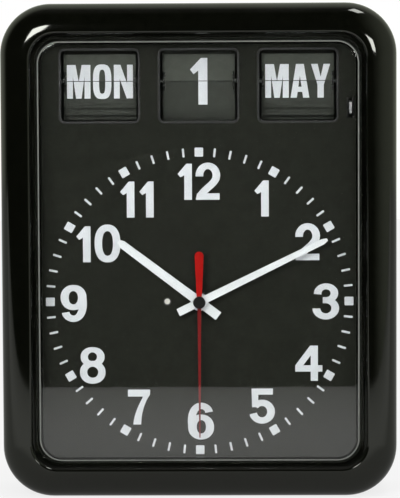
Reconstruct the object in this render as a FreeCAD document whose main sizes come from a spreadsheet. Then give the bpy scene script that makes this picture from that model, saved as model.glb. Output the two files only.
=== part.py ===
"""Clock with a split-flap calendar: day, date and month leaves above an analogue dial.

Millimetres. +Z is up, the dial looks towards -Y, and the origin is the middle of the
footprint on the surface that the clock stands on.
"""
import FreeCAD, Part
import math
import os

import PartDesign
import Sketcher

Vector = FreeCAD.Vector
Rotation = FreeCAD.Rotation

doc = FreeCAD.newDocument("calendar_clock")
sheet = doc.addObject("Spreadsheet::Sheet", "Dims")
sub_parts = []


# ---------------------------------------------------------------- driving dimensions

class Size:
    """A length with its number now and the expression that keeps it bound to the sheet."""

    def __init__(self, value, text):
        self.value = value
        self.text = text

    def join(self, other, sign, value):
        return Size(value, "(%s %s %s)" % (self.text, sign, size_of(other).text))

    def __add__(self, other):
        return self.join(other, "+", self.value + size_of(other).value)

    def __radd__(self, other):
        return size_of(other) + self

    def __sub__(self, other):
        return self.join(other, "-", self.value - size_of(other).value)

    def __rsub__(self, other):
        return size_of(other) - self

    def __mul__(self, other):
        return self.join(other, "*", self.value * size_of(other).value)

    def __rmul__(self, other):
        return size_of(other) * self

    def __truediv__(self, other):
        return self.join(other, "/", self.value / size_of(other).value)

    def __neg__(self):
        return Size(-self.value, "(0 - %s)" % self.text)


def size_of(number):
    """A Size for a Size or a plain number."""
    if isinstance(number, Size):
        return number
    return Size(float(number), "%.9g" % number)


def dimension(alias, value):
    """Put one driving dimension in the sheet under its own alias."""
    row = dimension.rows = dimension.rows + 1
    sheet.set("A%d" % row, alias)
    sheet.set("B%d" % row, "%.9g" % value)
    sheet.setAlias("B%d" % row, alias)
    return Size(float(value), "Dims." + alias)


dimension.rows = 0

case_width = dimension("case_width", 264)
case_height = dimension("case_height", 330)
case_depth = dimension("case_depth", 85)
corner_radius = dimension("corner_radius", 34)
case_wall = dimension("case_wall", 3)
bezel_depth = dimension("bezel_depth", 50.5)
bezel_outer_round = dimension("bezel_outer_round", 14)
bezel_inner_round = dimension("bezel_inner_round", 5.6)
bezel_lip_bevel = dimension("bezel_lip_bevel", 1.6)
seat_width = dimension("seat_width", 222.7)
seat_height = dimension("seat_height", 289.4)
seat_radius = dimension("seat_radius", 17)
seat_depth = dimension("seat_depth", 9.5)
well_width = dimension("well_width", 214)
well_height = dimension("well_height", 281)
well_radius = dimension("well_radius", 13)
dial_depth = dimension("dial_depth", 24.5)
dial_plate_thick = dimension("dial_plate_thick", 1.5)
dial_plate_width = dimension("dial_plate_width", 226)
dial_plate_height = dimension("dial_plate_height", 293)
dial_centre_height = dimension("dial_centre_height", 130)

lens_fit = dimension("lens_fit", 0.3)
lens_front_width = dimension("lens_front_width", 213.6)
lens_front_height = dimension("lens_front_height", 280)
lens_front_radius = dimension("lens_front_radius", 15)
lens_rise = dimension("lens_rise", 7.5)
lens_thick = dimension("lens_thick", 2)
lens_edge_bevel = dimension("lens_edge_bevel", 1.5)

window_width = dimension("window_width", 51.6)
window_height = dimension("window_height", 47.3)
window_radius = dimension("window_radius", 3)
window_pitch = dimension("window_pitch", 66.5)
window_centre_height = dimension("window_centre_height", 275)
window_rim = dimension("window_rim", 1.6)
window_rim_thick = dimension("window_rim_thick", 0.8)
window_tunnel_wall = dimension("window_tunnel_wall", 0.7)
window_tunnel_depth = dimension("window_tunnel_depth", 6)

leaf_split_height = dimension("leaf_split_height", 278)
leaf_reach = dimension("leaf_reach", 18.1)
leaf_width = dimension("leaf_width", 48.6)
leaf_neck_width = dimension("leaf_neck_width", 45.4)
leaf_neck_reach = dimension("leaf_neck_reach", 6.5)
leaf_thick = dimension("leaf_thick", 0.25)
leaf_split_gap = dimension("leaf_split_gap", 0.4)
leaf_tab_height = dimension("leaf_tab_height", 0.9)
spool_pin_radius = dimension("spool_pin_radius", 11.5)
spool_disc_radius = dimension("spool_disc_radius", 12.5)
spool_disc_thick = dimension("spool_disc_thick", 1.2)
spool_disc_inside = dimension("spool_disc_inside", 45.8)
spool_hub_radius = dimension("spool_hub_radius", 5)
spool_notch_width = dimension("spool_notch_width", 2.1)
spool_notch_depth = dimension("spool_notch_depth", 2.1)
spool_axis_depth = dimension("spool_axis_depth", 45)
axle_radius = dimension("axle_radius", 1.5)
axle_clearance = dimension("axle_clearance", 0.05)
flap_frame_inside = dimension("flap_frame_inside", 53.2)
flap_frame_thick = dimension("flap_frame_thick", 1.2)
ratchet_radius = dimension("ratchet_radius", 9)
ratchet_thick = dimension("ratchet_thick", 2)

lever_slot_width = dimension("lever_slot_width", 5.1)
lever_slot_height = dimension("lever_slot_height", 13.5)
lever_slot_across = dimension("lever_slot_across", 101.6)
lever_height = dimension("lever_height", 260)
lever_thick = dimension("lever_thick", 1.7)
lever_tab_height = dimension("lever_tab_height", 8.7)

movement_width = dimension("movement_width", 60)
movement_height = dimension("movement_height", 80)
movement_depth = dimension("movement_depth", 16.5)
movement_centre_rise = dimension("movement_centre_rise", 8)
movement_wall = dimension("movement_wall", 1.6)
gear_width = dimension("gear_width", 0.8)
gear_layer = dimension("gear_layer", 1.2)
arbor_radius = dimension("arbor_radius", 0.5)
running_gap = dimension("running_gap", 0.05)
minute_tube_radius = dimension("minute_tube_radius", 1.6)
hour_tube_radius = dimension("hour_tube_radius", 2.6)
bush_radius = dimension("bush_radius", 4)

hour_hand_length = dimension("hour_hand_length", 68)
hour_hand_tail = dimension("hour_hand_tail", 16)
hour_hand_root = dimension("hour_hand_root", 6.2)
hour_hand_tip = dimension("hour_hand_tip", 5.2)
minute_hand_length = dimension("minute_hand_length", 95.6)
minute_hand_tail = dimension("minute_hand_tail", 15.8)
minute_hand_root = dimension("minute_hand_root", 5.2)
minute_hand_tip = dimension("minute_hand_tip", 3.7)
second_hand_length = dimension("second_hand_length", 91)
second_hand_tail = dimension("second_hand_tail", 34.3)
hand_thick = dimension("hand_thick", 0.9)
hand_gap = dimension("hand_gap", 1.6)

battery_radius = dimension("battery_radius", 16.5)
battery_length = dimension("battery_length", 61)
battery_height = dimension("battery_height", 62)
battery_door_width = dimension("battery_door_width", 72)
battery_door_height = dimension("battery_door_height", 42)
rear_wall = dimension("rear_wall", 2.5)
door_fit = dimension("door_fit", 0.3)
keyhole_height = dimension("keyhole_height", 288)
keyhole_radius = dimension("keyhole_radius", 4.5)
keyhole_slot_radius = dimension("keyhole_slot_radius", 2.3)
hanger_thick = dimension("hanger_thick", 1.6)
boss_across = dimension("boss_across", 124.8)

# Depths along Y, worked out from the front of the bezel.
front_y = -case_depth / 2
joint_y = front_y + bezel_depth
back_y = case_depth / 2
seat_y = front_y + seat_depth
dial_y = front_y + dial_depth
dial_back_y = dial_y + dial_plate_thick
spool_y = front_y + spool_axis_depth
movement_back_y = dial_back_y + movement_depth
battery_y = back_y - rear_wall - 1.6 - battery_radius
middle_height = case_height / 2

# The three calendar units, by name: place across the case and number of leaves.
UNITS = (("day", -1, 14), ("date", 0, 31), ("month", 1, 12))


# ---------------------------------------------------------------- modelling helpers

PLANES = {"front": "XZ_Plane", "side": "YZ_Plane", "top": "XY_Plane"}
# The front plane's normal is -Y, so its depths count backwards along the normal.
NORMAL_SIGN = {"front": -1, "side": 1, "top": 1}


def new_body(name, place=None, turn=None):
    """A PartDesign body whose Label is its node's name."""
    body = doc.addObject("PartDesign::Body", name)
    body.Label = name
    if turn is not None:
        body.Placement = FreeCAD.Placement(Vector(), turn)
    if place is not None:
        for axis, length in zip("xyz", place):
            body.setExpression(".Placement.Base.%s" % axis, size_of(length).text)
    sub_parts.append(body)
    return body


def own_plane(body, view):
    """One of the body's own origin planes."""
    for feature in body.Origin.OriginFeatures:
        if feature.Role == PLANES[view]:
            return feature
    raise ValueError("no plane for " + view)


def new_sketch(body, view, depth, outlines):
    """A sketch parallel to one of the body's planes, at a depth, holding closed outlines."""
    sketch = body.newObject("Sketcher::SketchObject", body.Name + "_sketch")
    sketch.AttachmentSupport = [(own_plane(body, view), "")]
    sketch.MapMode = "FlatFace"
    offset = size_of(depth) * NORMAL_SIGN[view]
    sketch.AttachmentOffset = FreeCAD.Placement(Vector(0, 0, offset.value), Rotation())
    sketch.setExpression(".AttachmentOffset.Base.z", offset.text)
    for outline in outlines:
        outline(sketch)
    return sketch


def fix(sketch, kind, places, length):
    """Add one dimension to a sketch and bind it to its expression."""
    length = size_of(length)
    number = sketch.addConstraint(Sketcher.Constraint(kind, *places, length.value))
    sketch.setExpression("Constraints[%d]" % number, length.text)


def fix_point(sketch, edge, end, across, up):
    """Hold one end of a sketch edge at a place from the origin."""
    fix(sketch, "DistanceX", (-1, 1, edge, end), across)
    fix(sketch, "DistanceY", (-1, 1, edge, end), up)


def circle(across, up, radius):
    """An outline: a circle."""
    across, up, radius = size_of(across), size_of(up), size_of(radius)

    def draw(sketch):
        centre = Vector(across.value, up.value, 0)
        edge = sketch.addGeometry(Part.Circle(centre, Vector(0, 0, 1), radius.value))
        fix(sketch, "Radius", (edge,), radius)
        fix_point(sketch, edge, 3, across, up)
    return draw


SHAFT_SIDES = 12


def many_sided(across, up, radius, sides=SHAFT_SIDES, around=False):
    """An outline: a regular polygon in place of a small circle, inside it or around it.

    Small round parts and holes are drawn so, which keeps the mesh of the whole clock light.
    A shaft lies inside its circle and a hole around it, so one still turns in the other.
    """
    reach = size_of(radius)
    if around:
        reach = reach / math.cos(math.pi / sides)
    turns = [2 * math.pi * number / sides for number in range(sides)]
    return polygon([(across + reach * math.cos(turn), up + reach * math.sin(turn))
                    for turn in turns])


def polygon(points):
    """An outline: straight edges through points given as (across, up)."""
    points = [(size_of(across), size_of(up)) for across, up in points]

    def draw(sketch):
        corners = [Vector(across.value, up.value, 0) for across, up in points]
        count = len(corners)
        edges = []
        for index in range(count):
            line = Part.LineSegment(corners[index], corners[(index + 1) % count])
            edges.append(sketch.addGeometry(line))
        for index in range(count):
            following = edges[(index + 1) % count]
            sketch.addConstraint(Sketcher.Constraint("Coincident", edges[index], 2, following, 1))
        for edge, (across, up) in zip(edges, points):
            fix_point(sketch, edge, 1, across, up)
    return draw


def rectangle(across, up, width, height):
    """An outline: a plain rectangle about its centre."""
    low_x, high_x = across - size_of(width) / 2, across + size_of(width) / 2
    low_z, high_z = up - size_of(height) / 2, up + size_of(height) / 2
    return polygon([(low_x, low_z), (high_x, low_z), (high_x, high_z), (low_x, high_z)])


def clipped(across, up, width, height, clip):
    """An outline: a rectangle about its centre with its corners cut off."""
    half_width, half_height = size_of(width) / 2, size_of(height) / 2
    points = []
    for side_x, side_z in ((1, -1), (1, 1), (-1, 1), (-1, -1)):
        corner_x, corner_z = half_width * side_x, half_height * side_z
        cut_first = (across + corner_x - size_of(clip) * side_x, up + corner_z)
        cut_last = (across + corner_x, up + corner_z - size_of(clip) * side_z)
        points += [cut_first, cut_last] if side_x * side_z < 0 else [cut_last, cut_first]
    return polygon(points)


def rounded(across, up, width, height, radius):
    """An outline: a rectangle about its centre with rounded corners."""
    across, up, radius = size_of(across), size_of(up), size_of(radius)
    half_width, half_height = size_of(width) / 2, size_of(height) / 2
    sides = ((1, -1, -90), (1, 1, 0), (-1, 1, 90), (-1, -1, 180))

    def draw(sketch):
        arcs = []
        for side_x, side_z, start in sides:
            centre = Vector(across.value + side_x * (half_width.value - radius.value),
                            up.value + side_z * (half_height.value - radius.value), 0)
            round_edge = Part.Circle(centre, Vector(0, 0, 1), radius.value)
            arc = Part.ArcOfCircle(round_edge, math.radians(start), math.radians(start + 90))
            arcs.append(sketch.addGeometry(arc))
        for index, arc in enumerate(arcs):
            following = arcs[(index + 1) % 4]
            start, end = sketch.getPoint(arc, 2), sketch.getPoint(following, 1)
            line = sketch.addGeometry(Part.LineSegment(start, end))
            sketch.addConstraint(Sketcher.Constraint("Tangent", arc, 2, line, 1))
            sketch.addConstraint(Sketcher.Constraint("Tangent", line, 2, following, 1))
            sketch.addConstraint(Sketcher.Constraint(("Vertical", "Horizontal")[index % 2], line))
        for arc in arcs[1:]:
            sketch.addConstraint(Sketcher.Constraint("Equal", arcs[0], arc))
        fix(sketch, "Radius", (arcs[0],), radius)
        fix_point(sketch, arcs[0], 3, across + half_width - radius, up - half_height + radius)
        fix_point(sketch, arcs[2], 3, across - half_width + radius, up + half_height - radius)
    return draw


def pad(body, view, depth, length, *outlines):
    """Add material from a depth, backwards, rightwards or upwards."""
    sketch = new_sketch(body, view, depth, outlines)
    feature = body.newObject("PartDesign::Pad", body.Name + "_pad")
    feature.Profile = sketch
    feature.Reversed = view == "front"
    feature.Length = size_of(length).value
    feature.setExpression("Length", size_of(length).text)
    return feature


def cut(body, view, depth, length, *outlines):
    """Take material away from a depth, backwards, rightwards or upwards."""
    doc.recompute()
    before = body.Tip.Shape.Volume
    sketch = new_sketch(body, view, depth, outlines)
    feature = body.newObject("PartDesign::Pocket", body.Name + "_cut")
    feature.Profile = sketch
    feature.Reversed = view != "front"
    feature.Length = size_of(length).value
    feature.setExpression("Length", size_of(length).text)
    doc.recompute()
    if not feature.Shape.Volume < before:
        raise ValueError("a cut takes nothing from " + body.Label)
    return feature


def ring_of(body, feature, count, axis="N_Axis"):
    """Repeat a feature round its own sketch's origin."""
    doc.recompute()
    pattern = body.newObject("PartDesign::PolarPattern", body.Name + "_ring")
    pattern.Originals = [feature]
    pattern.Axis = (feature.Profile[0], [axis])
    pattern.Angle = 360
    pattern.Occurrences = count
    body.Tip = pattern
    return pattern


def bevel_edges(body, width, chosen):
    """Chamfer the edges of the body's tip that a test picks."""
    doc.recompute()
    base = body.Tip
    names = ["Edge%d" % (number + 1) for number, edge in enumerate(base.Shape.Edges) if chosen(edge)]
    if not names:
        raise ValueError("no edge to bevel on " + body.Label)
    feature = body.newObject("PartDesign::Chamfer", body.Name + "_bevel")
    feature.Base = (base, names)
    feature.Size = size_of(width).value
    feature.setExpression("Size", size_of(width).text)
    doc.recompute()
    return feature


def at_depth(depth, inside=None):
    """An edge test: the whole edge lies at one depth, and within a half width of the middle."""
    def chosen(edge):
        box = edge.BoundBox
        if abs(box.YMin - depth) > 1e-4 or abs(box.YMax - depth) > 1e-4:
            return False
        middle = edge.CenterOfMass
        shape = case_width.value / case_height.value
        out = max(abs(middle.x), abs(middle.z - middle_height.value) * shape)
        return inside is None or out < inside
    return chosen


def solids_node(name, shapes):
    """A node of several separate solids, made with Part's own functions."""
    feature = doc.addObject("Part::Feature", name)
    feature.Label = name
    feature.Shape = Part.makeCompound(shapes)
    sub_parts.append(feature)


# ---------------------------------------------------------------- case

BOSS_HEIGHTS = (50, 280)
SIDE_HOLLOW = 16
PEEP_ACROSS = -21.7


def boss_places():
    """Where the case screws sit, as (across, up)."""
    return [(side * boss_across, up) for side in (-1, 1) for up in BOSS_HEIGHTS]


def make_front_bezel():
    """Rolled front frame with the lens seat, the dial well and hollow side walls."""
    body = new_body("front_bezel")
    outline = rounded(0, middle_height, case_width, case_height, corner_radius)
    pad(body, "front", front_y, bezel_depth, outline)
    roll_outside(body)
    seat = rounded(0, middle_height, seat_width, seat_height, seat_radius)
    cut(body, "front", front_y, seat_depth, seat)
    roll_lip(body)
    well = rounded(0, middle_height, well_width, well_height, well_radius)
    cut(body, "front", seat_y, dial_depth - seat_depth, well)
    cut(body, "front", dial_y, joint_y - dial_y, inside_outline(case_wall))
    cut(body, "front", dial_y - SIDE_HOLLOW, SIDE_HOLLOW, inside_outline(case_wall + 0.2),
        inside_outline(case_wall * 6))
    for across, up in boss_places():
        pad(body, "front", dial_y - 12, joint_y - dial_y + 12, many_sided(across, up, 4.5))


def inside_outline(wall):
    """The case's outline drawn in by a wall, with cut corners that keep that wall."""
    clip = (corner_radius - wall) * (2 - math.sqrt(2))
    return clipped(0, middle_height, case_width - wall * 2, case_height - wall * 2, clip)


def roll_outside(body):
    """Roll the outer edge in three flats, each of them touching the same quarter circle."""
    broad = bezel_outer_round * (2 - math.sqrt(2))
    narrow = bezel_outer_round * (math.tan(math.pi / 8) - math.tan(math.pi / 16))
    bevel_edges(body, broad, at_depth(front_y.value))
    bevel_edges(body, narrow, at_depth(front_y.value))
    bevel_edges(body, narrow, at_depth((front_y + broad).value))


def roll_lip(body):
    """Roll the opening's edge: one broad bevel, then a narrow one on each of its edges."""
    near = seat_width.value / 2 + bezel_inner_round.value + 1
    bevel_edges(body, bezel_inner_round, at_depth(front_y.value, inside=seat_width.value / 2 + 1))
    inner_depth = (front_y + bezel_inner_round).value
    bevel_edges(body, bezel_lip_bevel, at_depth(front_y.value, inside=near))
    bevel_edges(body, bezel_lip_bevel, at_depth(inner_depth, inside=near))


def make_rear_cover():
    """Deep back shell with screw posts, a battery door opening, knob and hanger openings."""
    body = new_body("rear_cover")
    outline = rounded(0, middle_height, case_width, case_height, corner_radius)
    pad(body, "front", joint_y, back_y - joint_y, outline)
    bevel_edges(body, 5, at_depth(back_y.value))
    cut(body, "front", joint_y, back_y - joint_y - rear_wall, inside_outline(case_wall))
    for across, up in boss_places():
        pad(body, "front", joint_y, back_y - joint_y - rear_wall, many_sided(across, up, 5.5))
    for across, up in boss_places():
        cut(body, "front", joint_y + 8, back_y - joint_y - 8, many_sided(across, up, 3.2))
    opening = rectangle(0, battery_height, battery_door_width, battery_door_height)
    cut(body, "front", back_y - rear_wall, rear_wall, opening)
    pin_y, pin_z = door_pin_place()
    cut(body, "side", -battery_door_width / 2 - 2, battery_door_width + 4,
        many_sided(pin_y, pin_z, 0.87, around=True))
    across, up = set_shaft_place()
    cut(body, "front", back_y - rear_wall, rear_wall, many_sided(across, up, 9.5, 24))
    window = clipped(0, keyhole_height + 3, 24, 22, 3)
    cut(body, "front", back_y - rear_wall, rear_wall, window)


def door_pin_place():
    """The battery door's hinge line, as (depth, up)."""
    return back_y - rear_wall / 2 + 0.1, battery_height - battery_door_height / 2 + 1.5


def make_battery_door():
    """Door that hinges at its lower edge, with a finger notch at the top."""
    body = new_body("battery_door")
    width = battery_door_width - door_fit * 2
    height = battery_door_height - door_fit * 2
    thick = rear_wall - 0.3
    depth = back_y - rear_wall + 0.15
    pad(body, "front", depth, thick, rectangle(0, battery_height, width, height))
    pin_y, pin_z = door_pin_place()
    low = (battery_height - height / 2).value

    def lower_edges(edge):
        box = edge.BoundBox
        return box.ZMax < low + 1e-4 and box.XLength > 50
    bevel_edges(body, 0.9, lower_edges)
    pad(body, "side", -battery_door_width / 2 - 1.5, battery_door_width + 3,
        circle(pin_y, pin_z, 0.8))
    top = battery_height + height / 2
    cut(body, "front", depth + thick - 1, 1, clipped(0, top - 3, 18, 8, 2))


def make_lens():
    """Clear tray: drafted sides from the seat, a sloping edge and a flat front."""
    body = new_body("lens")
    edge = lens_edge_bevel
    rim = rounded(0, middle_height, seat_width - lens_fit * 2, seat_height - lens_fit * 2,
                  seat_radius - lens_fit)
    shoulder = rounded(0, middle_height, lens_front_width + edge, lens_front_height + edge,
                       lens_front_radius)
    front = rounded(0, middle_height, lens_front_width - edge * 2, lens_front_height - edge * 2,
                    lens_front_radius - edge)
    front_depth = seat_y - lens_rise
    loft(body, "PartDesign::AdditiveLoft", (seat_y, rim), (front_depth + edge, shoulder),
         (front_depth, front))
    inner_rim = rounded(0, middle_height, seat_width - lens_fit * 2 - lens_thick * 2,
                        seat_height - lens_fit * 2 - lens_thick * 2, seat_radius - lens_fit - lens_thick)
    inner_front = rounded(0, middle_height, lens_front_width - lens_thick * 2,
                          lens_front_height - lens_thick * 2, lens_front_radius - lens_thick)
    loft(body, "PartDesign::SubtractiveLoft", (seat_y, inner_rim), (front_depth + lens_thick, inner_front))


def loft(body, kind, base, *others):
    """A straight loft through outlines, each given as (depth, outline)."""
    doc.recompute()
    feature = body.newObject(kind, body.Name + "_loft")
    feature.Profile = new_sketch(body, "front", base[0], [base[1]])
    feature.Sections = [new_sketch(body, "front", depth, [outline]) for depth, outline in others]
    feature.Ruled = True
    doc.recompute()
    return feature


def make_dial_plate():
    """Flat plate with the three windows, the hub hole, the lever slot and a peep hole."""
    body = new_body("dial_plate")
    outline = clipped(0, middle_height, dial_plate_width, dial_plate_height, well_radius)
    windows = [clipped(place * window_pitch, window_centre_height,
                       window_width + window_tunnel_wall * 2 + 0.1,
                       window_height + window_tunnel_wall * 2 + 0.1, window_radius * 0.8)
               for name, place, count in UNITS]
    hub = many_sided(0, dial_centre_height, bush_radius + 0.1, around=True)
    slot = rectangle(lever_slot_across, lever_height, lever_slot_width, lever_slot_height)
    peep = many_sided(PEEP_ACROSS, dial_centre_height, 2.9, 16)
    pad(body, "front", dial_y, dial_plate_thick, outline, hub, slot, peep, *windows)


def make_window_frame(name, place):
    """Thin raised rim in front of the dial with a tunnel that lines the window."""
    body = new_body(name + "_window_frame")
    across = place * window_pitch
    clip = window_radius * 0.7
    opening = clipped(across, window_centre_height, window_width, window_height, clip)
    rim = clipped(across, window_centre_height, window_width + window_rim * 2,
                  window_height + window_rim * 2, clip + window_rim * 0.6)
    tunnel = clipped(across, window_centre_height, window_width + window_tunnel_wall * 2,
                     window_height + window_tunnel_wall * 2, clip + window_tunnel_wall * 0.4)
    pad(body, "front", dial_y - window_rim_thick, window_rim_thick, rim, opening)
    pad(body, "front", dial_y, window_tunnel_depth, tunnel, opening)
    front_depth = (dial_y - window_rim_thick).value
    bevel_edges(body, 0.3, at_depth(front_depth))


def make_hanger_plate():
    """Steel plate inside the back wall with a keyhole for a wall screw's head."""
    body = new_body("hanger_plate")
    depth = back_y - rear_wall - hanger_thick
    plate = clipped(0, keyhole_height + 3, 38, 30, 2)
    pad(body, "front", depth, hanger_thick, plate, circle(0, keyhole_height, keyhole_radius))
    slot_top = keyhole_height + 9
    cut(body, "front", depth, hanger_thick,
        rectangle(0, (keyhole_height + slot_top) / 2, keyhole_slot_radius * 2,
                  slot_top - keyhole_height))
    cut(body, "front", depth, hanger_thick, circle(0, slot_top, keyhole_slot_radius))


# ---------------------------------------------------------------- battery bay

def make_battery_holder():
    """Trough moulded behind the door opening, closed at its ends and open to the back."""
    body = new_body("battery_holder")
    top = back_y - rear_wall
    front = top - battery_radius * 2 - 3.2
    outer = clipped(0, battery_height, battery_length + 13, battery_radius * 2 + 11, 2)
    inner = rectangle(0, battery_height, battery_length + 8, battery_radius * 2 + 7.4)
    pad(body, "front", front, top - front, outer)
    cut(body, "front", front + 1.6, top - front - 1.6, inner)
    for side in (-1, 1):
        pad(body, "front", front + 1.6, 5,
            rectangle(0, battery_height + side * 13, battery_length - 6, 2.4))


def make_battery_cell():
    """One large round cell: can, bevelled shoulder and nub, drawn with 24 sides."""
    body = new_body("battery_cell")
    half = battery_length / 2
    can = many_sided(battery_y, battery_height, battery_radius - 0.3, 24)
    pad(body, "side", -half, battery_length - 1.5, can)
    can_end = (half - 1.5).value

    def shoulder(edge):
        box = edge.BoundBox
        return abs(box.XMin - can_end) < 1e-4 and abs(box.XMax - can_end) < 1e-4
    bevel_edges(body, 1.0, shoulder)
    pad(body, "side", half - 1.5, 1.5, many_sided(battery_y, battery_height, 4.75))


def make_battery_contacts():
    """Two bent strips, one against each end of the cell."""
    depth = battery_y.value
    up = battery_height.value
    half = battery_length.value / 2
    strips = []
    for side in (-1, 1):
        wall = side * (half + 4)
        foot = min(wall, wall - side * 0.5)
        plate = Part.makeBox(0.5, 14, 16, Vector(foot, depth - 7, up - 8))
        tip = min(side * half, wall - side * 0.5)
        bridge = Part.makeBox(3.5, 6, 0.5, Vector(tip, depth - 3, up - 3))
        pad_low = side * half if side > 0 else side * half - 0.5
        touch = Part.makeBox(0.5, 6, 8, Vector(pad_low, depth - 3, up - 3))
        strips.append(plate.fuse([bridge, touch]).removeSplitter())
    solids_node("battery_contacts", strips)


# ---------------------------------------------------------------- calendar units

def step_of(count):
    """Degrees that a spool turns for one leaf."""
    return 360.0 / count


def half_step_sine(count):
    return math.sin(math.radians(step_of(count) / 2))


def half_step_cosine(count):
    return math.cos(math.radians(step_of(count) / 2))


def make_flap_frame(name, place):
    """Two side plates with bearing holes, joined above and below behind the dial."""
    body = new_body(name + "_flap_frame")
    across = place * window_pitch
    left = across - flap_frame_inside / 2 - flap_frame_thick
    right = across + flap_frame_inside / 2
    foot, nose = dial_back_y, spool_y + 7.5
    low, high = window_centre_height - 29.5, window_centre_height + 29.5
    side = polygon([(foot, low), (foot + 5, low), (nose, leaf_split_height - 6),
                    (nose, leaf_split_height + 6), (foot + 5, high), (foot, high)])
    bearing = many_sided(spool_y, leaf_split_height, axle_radius + axle_clearance, around=True)
    pad(body, "side", left, flap_frame_thick, side, bearing)
    for up in (low + 1.5, high - 1.5):
        pad(body, "side", left, right - left + flap_frame_thick, rectangle(foot + 2, up, 4, 3))
    pad(body, "side", right, flap_frame_thick, side, bearing)


def make_spool(name, place, count):
    """Hub with two end discs whose rims are notched for the leaves' tabs."""
    turn = Rotation(Vector(1, 0, 0), -step_of(count) / 2)
    body = new_body(name + "_spool", (place * window_pitch, spool_y, leaf_split_height), turn)
    inner = spool_disc_inside / 2
    bore = many_sided(0, 0, axle_radius, around=True)
    pad(body, "side", -inner, inner * 2, many_sided(0, 0, spool_hub_radius), bore)
    for left in (-inner - spool_disc_thick, inner):
        disc = many_sided(0, 0, spool_disc_radius, count * (2 if count % 2 == 0 else 1))
        pad(body, "side", left, spool_disc_thick, disc, bore)
    rim, floor = spool_disc_radius + 1, spool_disc_radius - spool_notch_depth
    half = spool_notch_width / 2 * (1 + 1 / spool_notch_depth.value)
    notch = polygon([(-floor, 0), (-rim, half), (-rim, -half)])
    outer = inner + spool_disc_thick
    ring_of(body, cut(body, "side", -outer, outer * 2, notch), count)


def make_axle(name, place):
    """Steel axle with a collar outside one side plate."""
    body = new_body(name + "_axle", (place * window_pitch, spool_y, leaf_split_height))
    left = flap_frame_inside / 2 + flap_frame_thick + 0.3
    pad(body, "side", -left - 1, left * 2 + 4.4, circle(0, 0, axle_radius))
    pad(body, "side", -left - 1, 1, many_sided(0, 0, axle_radius + 1))


def make_ratchet(name, place, count):
    """Saw-toothed wheel outside the frame, one tooth for each leaf."""
    body = new_body(name + "_ratchet_wheel", (place * window_pitch, spool_y, leaf_split_height))
    depth = flap_frame_inside / 2 + flap_frame_thick + 0.8
    root = ratchet_radius - 1.3
    pad(body, "side", depth, ratchet_thick, many_sided(0, 0, root, count),
        many_sided(0, 0, axle_radius, around=True))
    reach = math.radians(step_of(count))
    foot = root - 0.5
    tooth = polygon([(foot, 0), (ratchet_radius, 0),
                     (root * math.cos(reach), root * math.sin(reach)),
                     (foot * math.cos(reach), foot * math.sin(reach))])
    ring_of(body, pad(body, "side", depth, ratchet_thick, tooth), count)


def make_falling_leaf(name, place, count):
    """The leaf whose upper half shows: neck between the discs, tabs in their notches."""
    pin_y = spool_y - spool_pin_radius * half_step_cosine(count)
    pin_rise = spool_pin_radius * half_step_sine(count)
    place_of_pin = (place * window_pitch, pin_y, leaf_split_height + pin_rise)
    body = new_body(name + "_falling_leaf", place_of_pin)
    neck, wide = leaf_neck_width / 2, leaf_width / 2
    tab = spool_disc_inside / 2 + spool_disc_thick
    tab_half = leaf_tab_height / 2
    low = pin_rise - leaf_split_gap / 2
    shoulder = leaf_neck_reach - pin_rise
    high = leaf_reach - pin_rise
    right_side = [(neck, -low), (neck, -tab_half), (tab, -tab_half), (tab, tab_half),
                  (neck, tab_half), (neck, shoulder), (wide, shoulder), (wide, high)]
    left_side = [(-across, up) for across, up in reversed(right_side)]
    pad(body, "front", -leaf_thick / 2, leaf_thick, polygon(right_side + left_side))
    return body


def make_leaves(name, place, count, falling_leaf):
    """All other leaves: laid back over the spool behind, and hanging down in front."""
    step = step_of(count)
    axis = Vector(1, 0, 0)
    centre = Vector(0, spool_y.value, leaf_split_height.value)
    radius = spool_pin_radius.value
    doc.recompute()
    first_pin = falling_leaf.Placement.Base
    laid_back = count // 2
    leaves = []
    for number in range(1, laid_back + 1):
        leaf = falling_leaf.Shape.copy()
        leaf.rotate(centre, axis, -number * step)
        leaves.append(leaf)
    for number in range(count - 1 - laid_back):
        angle = math.radians(step * (number + 0.5))
        pin = centre + Vector(0, -radius * math.cos(angle), -radius * math.sin(angle))
        leaf = falling_leaf.Shape.copy()
        leaf.rotate(first_pin, axis, 180)
        leaf.translate(Vector(0, pin.y - first_pin.y, pin.z - first_pin.z))
        leaves.append(leaf)
    solids_node(name + "_leaves", leaves)


def make_detent_springs():
    """One bent strip for each ratchet wheel, fixed behind the dial plate."""
    foot = dial_back_y.value
    top = leaf_split_height.value + ratchet_radius.value
    points = [(foot, top + 15), (foot + 0.4, top + 15), (foot + 0.4, top + 9.8),
              (-0.6, top + 1.4), (3.4, top + 0.8), (3.4, top + 0.4), (-0.6, top + 1.0),
              (foot, top + 9.4)]
    strips = []
    for name, place, count in UNITS:
        left = place * window_pitch.value + flap_frame_inside.value / 2 + 2.4
        corners = [Vector(left, depth, up) for depth, up in points]
        face = Part.Face(Part.makePolygon(corners + corners[:1]))
        strips.append(face.extrude(Vector(1.4, 0, 0)))
    solids_node("detent_springs", strips)


# ---------------------------------------------------------------- calendar drive

LEVER_ARM = 20
LEVER_PIVOT_DEPTH = -8


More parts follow.
